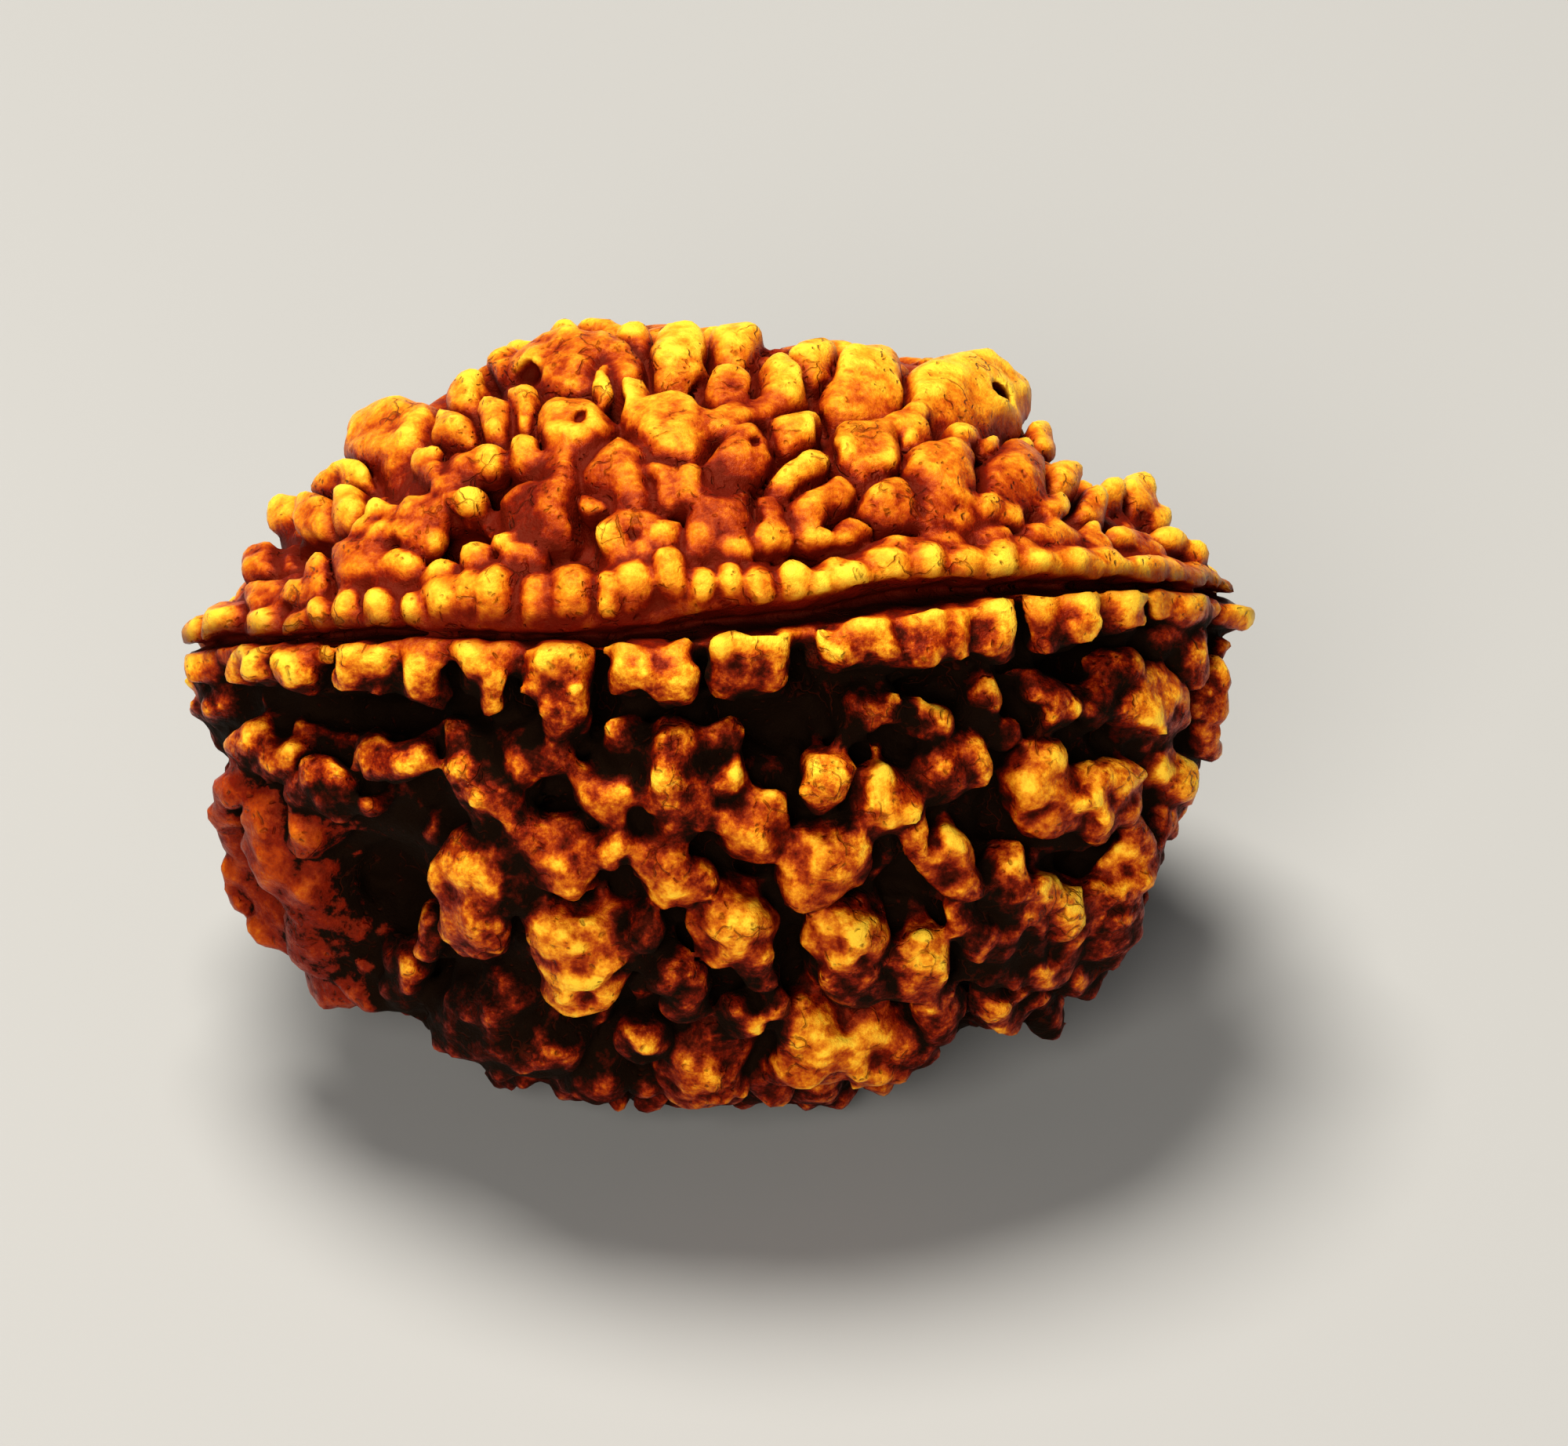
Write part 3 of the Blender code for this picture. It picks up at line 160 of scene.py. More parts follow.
# ---------------------------------------------------------------- the knobs, in drawing units seen from the viewpoint
# Knobs of the upper valve: across, down, width, height, turn (degrees, anticlockwise)
KNOBS_A = [
    # skyline, left to right
    (598, 505, 38, 62, 0), (652, 470, 30, 50, 30), (674, 450, 46, 26, 0), (697, 474, 20, 48, 0),
    (722, 444, 52, 52, 0), (765, 434, 58, 44, 0), (808, 444, 44, 52, 0), (738, 468, 150, 96, 0), (736, 480, 28, 34, 0),
    (866, 458, 62, 92, 0), (931, 445, 54, 62, 0), (934, 494, 50, 56, 0), (996, 488, 52, 72, -15),
    (1040, 466, 58, 56, 0), (1110, 490, 92, 106, 0), (1236, 502, 140, 100, 0),
    # second row
    (503, 556, 106, 88, 0), (581, 545, 54, 42, 0), (632, 532, 44, 56, 0), (666, 520, 40, 60, 0),
    (734, 546, 90, 88, 0), (766, 498, 24, 100, 0), (811, 512, 22, 50, 0), (852, 550, 98, 94, 0),
    (930, 533, 62, 24, 25), (978, 514, 56, 26, 18), (1014, 549, 66, 42, 10), (1106, 576, 80, 90, 0),
    (1152, 534, 52, 22, 20), (1168, 554, 52, 38, 0), (1263, 571, 30, 30, 0), (1222, 556, 40, 26, 0),
    # third row
    (546, 584, 34, 30, 0), (590, 598, 40, 32, 0), (618, 588, 32, 30, 0), (575, 630, 36, 32, 0),
    (602, 642, 28, 24, 0), (556, 608, 28, 24, 0), (675, 582, 42, 54, 0), (711, 603, 38, 56, 0),
    (790, 602, 100, 88, 0), (836, 602, 78, 34, 0), (853, 628, 26, 46, 0), (940, 590, 108, 60, 45),
    (1015, 610, 108, 46, 42), (1198, 598, 98, 88, 0), (1290, 612, 70, 92, 0), (1324, 560, 30, 50, 0),
    # fourth row
    (440, 622, 62, 36, 25), (408, 660, 44, 40, 0), (448, 655, 28, 50, 0), (374, 664, 34, 40, 0),
    (500, 655, 34, 22, 0), (541, 653, 56, 30, 0), (487, 681, 50, 22, 0), (536, 682, 50, 36, 0),
    (694, 650, 88, 84, 0), (760, 646, 50, 40, 0), (806, 648, 40, 34, 0), (922, 652, 78, 92, 0),
    (878, 625, 26, 46, 0), (1045, 642, 108, 54, 35), (986, 656, 40, 60, 35), (1134, 642, 76, 62, 0),
    (1188, 656, 38, 46, 0), (1226, 660, 36, 46, 0), (1258, 655, 34, 30, 0), (1284, 664, 26, 24, 0),
    (1354, 620, 42, 42, 0), (1337, 655, 44, 24, 35), (1348, 690, 46, 28, 0), (1386, 646, 36, 40, 0),
    (1447, 643, 34, 54, 0), (1471, 668, 26, 26, 0), (1437, 691, 52, 20, 0), (1488, 696, 34, 24, -30),
    (1412, 636, 26, 28, 0), (1318, 690, 26, 24, 0), (1385, 683, 24, 24, 0),
    # fifth row, above the upper lip
    (336, 724, 38, 46, 0), (346, 762, 54, 34, 0), (386, 757, 32, 26, 0), (467, 724, 82, 62, 0),
    (414, 734, 30, 42, 0), (563, 735, 46, 28, 35), (520, 722, 34, 28, 0), (610, 710, 34, 28, 0),
    (672, 716, 48, 36, 0), (648, 695, 30, 24, 0), (786, 704, 28, 66, 20), (808, 674, 80, 34, 0),
    (850, 700, 30, 60, 0), (820, 712, 26, 30, 0), (900, 700, 36, 36, 0), (938, 706, 44, 26, 0),
    (985, 694, 50, 30, 10), (1089, 684, 52, 38, 0), (1040, 690, 44, 26, 0), (1146, 700, 96, 36, -5),
    (1200, 698, 50, 34, 0), (1260, 690, 44, 24, 0), (1300, 706, 34, 26, 0), (1395, 700, 40, 22, 0),
    (1462, 706, 40, 22, -20), (1515, 715, 30, 22, -30),
]

# Bumps of the upper lip
LIP_A = [
    (262, 806, 40, 26, 20), (300, 789, 74, 38, 10), (345, 795, 50, 30, 0), (385, 793, 38, 28, 0),
    (416, 781, 38, 34, 0), (450, 774, 36, 36, 0), (490, 778, 46, 44, 0), (532, 775, 40, 36, 0),
    (575, 758, 62, 56, 15), (606, 752, 40, 50, 0), (640, 756, 56, 62, -15), (684, 757, 40, 56, 0),
    (730, 752, 56, 62, 0), (774, 758, 34, 50, 0), (808, 750, 52, 56, 0), (854, 732, 48, 64, 0),
    (895, 745, 34, 36, 0), (932, 744, 40, 42, 0), (968, 745, 38, 42, 0), (1010, 742, 50, 44, 0),
    (1078, 737, 74, 42, 0), (1045, 744, 40, 34, 0), (1130, 722, 60, 40, 8), (1178, 715, 60, 42, 0),
    (1225, 716, 50, 38, 0), (1268, 715, 56, 40, 0), (1318, 718, 56, 36, 0), (1362, 720, 50, 34, 0),
    (1400, 718, 52, 32, 0), (1440, 722, 46, 28, 0), (1480, 726, 46, 28, -10), (1518, 736, 44, 26, -15),
    (1552, 750, 36, 20, -20),
]

# Long blocks of the lower lip, parted by gaps: across, down, width, height, turn
LONG_B = [
    (275, 855, 66, 26, -2), (365, 851, 112, 34, 0), (502, 852, 138, 38, 0), (628, 850, 70, 38, 0),
    (712, 858, 88, 56, 0), (830, 858, 102, 58, 0), (956, 846, 112, 64, 3), (1088, 826, 106, 44, 7),
    (1160, 818, 100, 46, 7), (1240, 808, 104, 54, 4), (1350, 794, 90, 46, 2), (1415, 786, 82, 38, 0),
    (1500, 784, 66, 30, 0), (1560, 786, 60, 26, -4),
]

# Blocks of the lower lip: left, right, top, bottom
LIP_B = [
    (240, 300, 843, 868), (292, 362, 836, 872), (352, 424, 832, 872), (431, 476, 829, 866),
    (468, 522, 829, 868), (514, 574, 829, 896), (592, 664, 829, 868), (618, 658, 834, 906),
    (668, 757, 829, 884), (690, 752, 850, 932), (779, 828, 827, 892), (826, 882, 822, 896),
    (900, 960, 814, 884), (948, 1011, 814, 888), (1034, 1090, 806, 850), (1080, 1146, 800, 850),
    (1136, 1200, 790, 846), (1190, 1240, 781, 838), (1230, 1292, 778, 838), (1306, 1350, 768, 832),
    (1340, 1396, 766, 812), (1386, 1456, 766, 808), (1466, 1530, 766, 799), (1518, 1590, 770, 798),
]

# Knobs of the lower valve that lie deep under its lip
SHADED_B = [
    (268, 900, 52, 46, 0), (246, 890, 30, 56, 0), (470, 945, 40, 26, 0), (640, 945, 70, 40, 0),
    (590, 950, 34, 60, 20), (700, 960, 60, 50, 0), (650, 985, 44, 44, 0), (748, 922, 40, 36, 0),
    (800, 950, 40, 60, 20), (930, 945, 40, 40, 0), (1000, 930, 50, 40, 0), (1098, 914, 42, 58, 0),
    (1189, 928, 44, 44, 0), (1150, 900, 36, 34, 0), (1240, 960, 34, 40, 0), (1262, 901, 34, 54, 0),
    (1290, 935, 40, 44, 0), (1340, 880, 40, 34, 0), (1362, 913, 40, 40, 0), (1409, 905, 40, 40, 0),
    (1440, 860, 40, 40, 0), (1500, 820, 50, 34, 0), (462, 1030, 40, 26, -20), (545, 1210, 24, 60, 0),
]

# Knobs of the lower valve, in rows from the lip down
KNOBS_B = [
    (862, 960, 60, 60, 0), (1476, 905, 78, 80, 0), (1520, 850, 34, 60, 0), (1548, 862, 24, 50, 0),
    (1541, 900, 38, 28, 0), (1540, 946, 32, 52, 0), (318, 948, 40, 36, 0), (350, 971, 46, 44, -20),
    (384, 1008, 34, 36, 0), (415, 990, 60, 26, -35), (425, 1018, 52, 30, -25),
    (488, 980, 34, 36, 0), (514, 975, 60, 46, 0), (462, 965, 24, 44, -15), (600, 992, 46, 38, -30),
    (625, 1030, 70, 90, 20), (655, 1070, 40, 56, 0), (760, 1012, 44, 48, 0), (794, 1026, 66, 70, 0),
    (862, 1012, 72, 98, 10), (926, 995, 34, 40, 0), (958, 1056, 70, 80, 15), (1054, 1000, 56, 62, 0),
    (1134, 1026, 78, 80, -25), (1212, 990, 70, 70, 0), (1246, 968, 40, 60, 10), (1345, 1012, 80, 98, 0),
    (1402, 1028, 38, 96, 10), (1434, 1012, 46, 70, 0), (1498, 1002, 58, 64, 0), (1487, 1056, 34, 36, 0),
    (1464, 1088, 30, 70, 15), (604, 1120, 84, 84, 0), (606, 1185, 70, 80, 0), (718, 1100, 74, 74, 0),
    (836, 1096, 60, 66, 0), (858, 1132, 60, 52, -20), (888, 1122, 34, 50, 0), (786, 1082, 30, 44, 0),
    (1040, 1110, 88, 80, 25), (1085, 1090, 40, 56, 0), (1214, 1098, 62, 72, 0), (1182, 1068, 30, 40, 0),
    (1290, 1128, 50, 60, 0), (1318, 1152, 48, 56, 0), (1441, 1112, 32, 58, 0), (1428, 1162, 46, 82, 0),
    (1404, 1196, 44, 76, 0), (1362, 1184, 48, 100, 0), (1340, 1140, 40, 40, 0), (1250, 1120, 34, 40, 0),
    (510, 1252, 54, 68, 0), (737, 1205, 124, 84, 0), (730, 1252, 92, 76, 0),
    (934, 1190, 100, 76, 0), (968, 1226, 44, 76, 0), (1080, 1200, 90, 70, 0), (1098, 1250, 70, 60, 0),
    (1152, 1243, 32, 60, 0), (1186, 1235, 50, 80, 0), (1198, 1290, 42, 64, 0), (1270, 1222, 72, 80, 0),
    (1330, 1240, 42, 50, 0), (1278, 1286, 60, 46, 0), (1312, 1200, 50, 48, 0), (1232, 1180, 40, 46, 0),
    (820, 1186, 44, 40, 0), (660, 1140, 30, 50, 0), (1372, 1252, 44, 44, 0), (608, 1300, 100, 92, 0),
    (660, 1332, 96, 70, 0), (650, 1372, 54, 36, 0), (706, 1340, 60, 60, 0), (762, 1368, 70, 60, 0),
    (818, 1330, 54, 46, 0), (872, 1272, 52, 62, 0), (850, 1240, 40, 50, 0), (900, 1362, 108, 96, 0),
    (940, 1300, 44, 50, 0), (985, 1378, 56, 60, 0), (990, 1300, 30, 60, 0), (1034, 1338, 84, 100, 0),
    (1112, 1342, 84, 96, 0), (575, 1290, 44, 60, 0), (830, 1392, 44, 36, 0), (1172, 1330, 40, 36, 0),
    (1330, 1292, 40, 34, 0),
]

# The smooth plate along the lower left edge: across, down, width, height, turn
PLATE_B = [
    (306, 1000, 40, 60, -25), (306, 1052, 44, 84, 0), (345, 1070, 60, 110, 15), (330, 1110, 60, 80, 20),
    (376, 1125, 60, 130, 25), (360, 1170, 56, 80, 35), (410, 1195, 70, 110, 35), (430, 1240, 80, 56, -30),
    (476, 1245, 56, 56, -30), (385, 1060, 34, 60, 10),
]

# Pits between the knobs, which leave the knobs whole: across, down, width, height, turn, depth (millimetres)
PITS = [
    (966, 462, 30, 44, 0, 0.9), (1163, 470, 30, 44, 0, 0.9), (580, 516, 30, 36, 0, 0.9), (828, 430, 16, 30, 0, 0.7),
    (788, 526, 16, 62, 0, 1.4), (840, 643, 44, 32, 0, 1.4), (628, 632, 44, 60, -25, 1.5),
    (575, 702, 130, 62, -8, 1.6), (1055, 500, 14, 26, 0, 1.0), (1298, 634, 24, 18, 0, 0.5),
    (1286, 684, 22, 18, 0, 0.9), (1412, 668, 34, 38, 0, 1.3), (470, 657, 28, 44, 0, 1.1), (718, 703, 48, 40, 0, 1.3),
    (588, 721, 20, 16, 0, 0.8), (394, 707, 64, 50, 0, 1.4), (808, 700, 26, 34, 0, 1.0), (1020, 714, 54, 22, 0, 1.1),
    (1225, 690, 22, 18, 0, 0.7), (428, 640, 26, 24, 0, 0.6), (745, 690, 30, 20, 0, 0.9), (886, 665, 18, 50, 0, 1.0),
    (1160, 660, 14, 46, 0, 0.9), (1240, 632, 14, 40, 0, 1.0), (1375, 672, 26, 20, 0, 0.9), (545, 705, 40, 40, 0, 1.4),
    (525, 600, 20, 26, 0, 0.7), (645, 612, 26, 40, 0, 1.2), (1500, 712, 18, 12, 0, 0.6), (430, 908, 300, 62, 0, 2.0),
    (586, 905, 60, 60, 0, 1.6), (672, 938, 40, 30, 0, 1.3), (800, 980, 18, 120, 24, 1.4), (985, 925, 186, 96, 0, 1.8),
    (848, 920, 110, 36, 0, 1.5), (1166, 884, 150, 54, 0, 1.8), (1400, 850, 150, 66, 0, 1.9),
    (1330, 860, 60, 60, 0, 1.6), (1510, 880, 22, 70, 0, 1.2), (1420, 940, 90, 40, 0, 1.5),
    (490, 1142, 136, 150, 15, 2.6), (440, 1078, 84, 56, -20, 1.8), (703, 1037, 52, 56, 0, 1.9),
    (740, 975, 60, 30, 0, 1.4), (540, 1010, 50, 60, 0, 1.5), (955, 1114, 64, 66, 0, 1.9),
    (1012, 1228, 48, 118, 0, 2.0), (905, 1062, 30, 90, 20, 1.4), (1008, 1050, 36, 60, 0, 1.5),
    (1090, 1060, 44, 60, 0, 1.4), (1150, 1130, 90, 60, 0, 1.7), (1270, 1050, 60, 76, 0, 1.8),
    (1376, 1106, 96, 56, 0, 1.9), (1220, 1170, 60, 50, 0, 1.4), (1300, 1080, 40, 40, 0, 1.4),
    (1320, 1190, 30, 34, 0, 1.0), (800, 1300, 60, 60, 0, 1.8), (690, 1160, 50, 26, 0, 1.4),
    (775, 1130, 34, 60, 0, 1.5), (870, 1200, 50, 60, 0, 1.7), (560, 1240, 50, 60, 0, 1.6),
    (700, 1290, 60, 20, 0, 1.2), (930, 1265, 30, 40, 0, 1.3), (1145, 1310, 26, 70, 0, 1.4),
    (1230, 1300, 40, 60, 0, 1.5), (1480, 960, 50, 24, 0, 1.3), (1462, 1040, 22, 40, 0, 1.1),
    (1136, 1180, 24, 60, 0, 1.3), (1395, 1130, 60, 20, 0, 1.3), (565, 1060, 34, 60, 0, 1.3),
    (660, 1105, 36, 40, 0, 1.3), (845, 1378, 40, 40, 0, 1.4), (930, 1395, 22, 40, 0, 1.0),
    (310, 985, 46, 22, 20, 1.2), (345, 925, 70, 30, -30, 1.4), (1075, 965, 120, 26, 0, 1.5),
    (1180, 960, 26, 60, 0, 1.3),
]

# Narrow gaps that cut the knobs and lips too
GAPS = [
    (672, 482, 38, 28, 0, 0.9), (743, 530, 20, 16, 0, 0.4), (893, 500, 9, 70, -8, 1.2), (968, 566, 16, 14, 0, 0.5),
    (1053, 543, 12, 66, 0, 1.3), (1202, 546, 22, 26, 0, 1.0), (1266, 509, 26, 40, 0, 0.9), (648, 537, 14, 12, 0, 0.4),
    (672, 527, 14, 12, 0, 0.4), (865, 480, 12, 14, 0, 0.3), (585, 868, 22, 70, 0, 1.3), (661, 890, 16, 60, 0, 1.0),
    (766, 890, 20, 110, 0, 1.5), (890, 860, 16, 60, 0, 1.1), (1022, 860, 28, 100, 0, 1.6),
    (1300, 806, 14, 80, 0, 1.2), (1461, 795, 12, 60, 0, 1.0), (428, 848, 10, 50, 0, 0.8), (816, 1052, 26, 26, 0, 1.0),
    (660, 1200, 24, 90, 0, 1.5), (985, 1330, 20, 80, 0, 1.5), (1200, 1070, 12, 12, 0, 0.5),
]

# The mukh line on the near ridge: across, down, half width
SLIT = [
    (233, 828, 7), (280, 818, 7), (340, 816, 6), (420, 812, 7), (480, 807, 8), (560, 808, 8), (640, 812, 8),
    (780, 812, 10), (840, 806, 13), (900, 796, 16), (960, 791, 18), (1030, 783, 18), (1130, 762, 20), (1200, 755, 20),
    (1300, 750, 12), (1392, 747, 10), (1480, 748, 9), (1571, 760, 7), (1590, 768, 6),
]

# The bead's outline in the drawing
OUTLINE = [
    (228, 828), (262, 795), (300, 770), (318, 740), (335, 700), (358, 650), (395, 618), (440, 598), (458, 560),
    (480, 525), (515, 512), (550, 522), (580, 530), (590, 490), (610, 472), (640, 462), (660, 440), (700, 425),
    (750, 412), (800, 418), (830, 432), (850, 415), (880, 413), (900, 425), (920, 412), (945, 425), (965, 470),
    (985, 458), (1015, 450), (1040, 440), (1100, 437), (1140, 450), (1160, 480), (1190, 465), (1240, 450),
    (1290, 465), (1310, 500), (1312, 550), (1330, 590), (1360, 605), (1400, 630), (1430, 615), (1460, 630),
    (1480, 660), (1510, 700), (1550, 730), (1590, 768), (1588, 800), (1570, 850), (1560, 900), (1555, 960),
    (1530, 1000), (1520, 1040), (1490, 1060), (1478, 1110), (1460, 1140), (1450, 1200), (1420, 1240), (1370, 1270),
    (1310, 1300), (1270, 1308), (1220, 1290), (1210, 1330), (1150, 1350), (1145, 1390), (1100, 1405), (1000, 1400),
    (950, 1405), (890, 1415), (840, 1400), (760, 1400), (640, 1390), (560, 1350), (540, 1300), (470, 1280),
    (400, 1240), (340, 1160), (310, 1110), (290, 1060), (290, 1000), (310, 960), (270, 930), (235, 900), (232, 870),
]

SEEN_DEPTH = 0.2          # the drawn outlines are taken this far under the knob tops
MOST_SLOPE = 1.2          # how far a knob's side may run back with the skin
SKYLINE_DROP = 8          # how much lower the upper rows of knobs are set, as they bulge over their outlines
HIDDEN_SEED = 2
AWAY_DROP = 0.35          # how much lower the valves lie on the side turned away from the viewpoint


def turned(angle):
    """The drawing's across and up axes, turned anticlockwise."""
    c, s = math.cos(math.radians(angle)), math.sin(math.radians(angle))
    return RIGHT * c + UP * s, UP * c - RIGHT * s


def turned_away(n):
    """0 where the skin faces the viewpoint, 1 soon after it turns away."""
    return np.clip((n @ AHEAD) * 4.0 + 0.2, 0.0, 1.0)


def knob(c, rows, kind, power, **more):
    """A rounded block: its centre, and the vectors from there to the middles of three of its faces."""
    rows = np.array(rows, float)
    return dict(c=np.array(c, float), rows=rows, inv=np.linalg.inv(rows), kind=kind, power=power,
                size=float(np.sort(np.linalg.norm(rows, axis=1))[1]), **more)


def drawn(u, v, du, dv, turn, sink, deep, kind, power, scale=1.0):
    """A block with the drawn outline that faces the viewpoint."""
    a, b = du * UNIT / 2, dv * UNIT / 2
    centre, t = hit(u, v, -sink * deep)
    k = t / VIEW_DISTANCE * scale
    ax, up = turned(turn)
    return knob(centre, [ax * a * k, up * b * k, AHEAD * deep], kind, power)


def seated(u, v, du, dv, turn, sink, kind, power, deep=None, scale=1.0):
    """A knob with the drawn outline that sits on the body, its sides running along the skin."""
    a, b = du * UNIT / 2, dv * UNIT / 2
    d = deep if deep is not None else min(max(0.5 * (a + b), 0.35), 1.0)
    p, t = hit(u, v, -SEEN_DEPTH)
    n = skin_normal(p)
    down = -(n @ AHEAD)
    k = t / VIEW_DISTANCE * scale
    rows = []
    for e, half in zip(turned(turn), (a * k, b * k)):
        s = np.clip((n @ e) / max(down, 0.2), -MOST_SLOPE, MOST_SLOPE)
        rows.append((e + AHEAD * s) * half)
    rows.append(n * d)
    sink *= 0.65 + 0.35 * min(1.0, max(down, 0.0) / 0.5)
    return knob(p - n * (sink * d - SEEN_DEPTH), rows, kind, power)


def visible_knobs():
    out = []
    for u, v, du, dv, turn in KNOBS_A:
        v += SKYLINE_DROP * min(1.0, max(0.0, (620 - v) / 60))
        out.append(seated(u, v, du, dv, turn, 0.85, "a", 2.6, scale=1.17 if du + dv > 90 else 1.12))
    for u, v, du, dv, turn in LIP_A:
        out.append(drawn(u, v + 4, du, dv + 10, turn, 0.45, 0.75, "lip_a", 2.6, scale=1.06))
    for u, v, du, dv, turn in LONG_B:
        out.append(drawn(u, v - 8, du, dv + 16, turn, 0.62, 0.85, "lip_b", 4.5))
    for x0, x1, y0, y1 in LIP_B:
        out.append(drawn((x0 + x1) / 2, (y0 + y1) / 2 - 6, x1 - x0, y1 - y0 + 12, 0, 0.5, 0.85, "lip_b", 2.8,
                         scale=1.02))
    for u, v, du, dv, turn in SHADED_B:
        out.append(seated(u, v, du, dv, turn, 1.5, "b", 2.3, scale=1.1))
    for u, v, du, dv, turn in KNOBS_B:
        out.append(seated(u, v, du, dv, turn, 0.8, "b", 2.4, scale=1.1))
    for u, v, du, dv, turn in PLATE_B:
        out.append(seated(u, v, du, dv, turn, 0.9, "plate", 2.2, deep=0.8, scale=1.1))
    return out


def on_skin(directions, grow=0.0):
    """Points of the body's skin in the given directions from its centre."""
    lo, hi = np.zeros(len(directions)), np.full(len(directions), 16.0)
    for _ in range(26):
        mid = (lo + hi) / 2
        inside = skin(directions * mid[:, None], grow) < 0
        lo, hi = np.where(inside, mid, lo), np.where(inside, hi, mid)
    return directions * lo[:, None]


def spiral(n):
    i = np.arange(n) + 0.5
    z = 1 - 2 * i / n
    r = np.sqrt(1 - z * z)
    t = i * math.pi * (3 - math.sqrt(5))
    return np.stack([z, r * np.cos(t), r * np.sin(t)], axis=1)


def slit_points():
    """The near mukh line as (x, height over the rim plane, half width) in millimetres."""
    out = []
    for u, v, w in SLIT:
        p, t = hit(u, v, 0.0)
        out.append((p[0], p[2], w * UNIT * t / VIEW_DISTANCE))
    return out


LINE = slit_points()


def line_at(x, side):
    """Height over the rim plane and half width of the mukh line, near (side -1) or far (side 1)."""
    xs, zs, ws = zip(*LINE)
    if side > 0:
        return FAR_LINE + 0.12 * np.sin(x * 0.7), np.interp(x, xs, ws) * 0.7
    return np.interp(x, xs, zs), np.interp(x, xs, ws)


def rim_frame(x, side):
    """A point on the rim's outline with its directions along, up and out."""
    slope = float(rim_width(np.array(x + 0.1)) - rim_width(np.array(x - 0.1))) / 0.2 * side
    along = np.array([1.0, slope, 0.0])
    along /= np.linalg.norm(along)
    up = np.array([0.0, 0.0, 1.0])
    out = np.cross(up, along) * side
    return np.array([x, side * float(rim_width(np.array(x))), 0.0]), np.stack([along, up, out])


def ridges():
    """The four lips: a low unbroken ridge on each side of each mukh line, under its blocks and bumps."""
    out = []
    for side in (-1, 1):
        for x in np.arange(-11.0, 11.01, 0.4):
            p, axes = rim_frame(x, side)
            z, w = line_at(x, side)
            for valve, half, name, back in ((1, 0.30, "lip_a", 0.80), (-1, 0.32, "lip_b", 0.62)):
                c = p - axes[2] * back + axes[1] * (z + valve * (w + half * 0.6))
                out.append(knob(c, axes * np.array([[0.5], [half], [0.62]]), name, 2.6, ridge=True))
    return out


def room_inside(u, v):
    """How far a drawing point lies inside the bead's outline, below 0 outside it."""
    a = np.array(OUTLINE, float)
    b = np.roll(a, -1, axis=0)
    p = np.array([u, v], float)
    ab = b - a
    t = np.clip(((p - a) * ab).sum(1) / (ab ** 2).sum(1), 0, 1)
    near = np.sqrt(((a + ab * t[:, None] - p) ** 2).sum(1)).min()
    cross = (a[:, 1] > v) != (b[:, 1] > v)
    at = a[:, 0] + (v - a[:, 1]) / np.where(ab[:, 1] == 0, 1e-9, ab[:, 1]) * ab[:, 0]
    return near if (cross & (at > u)).sum() % 2 else -near


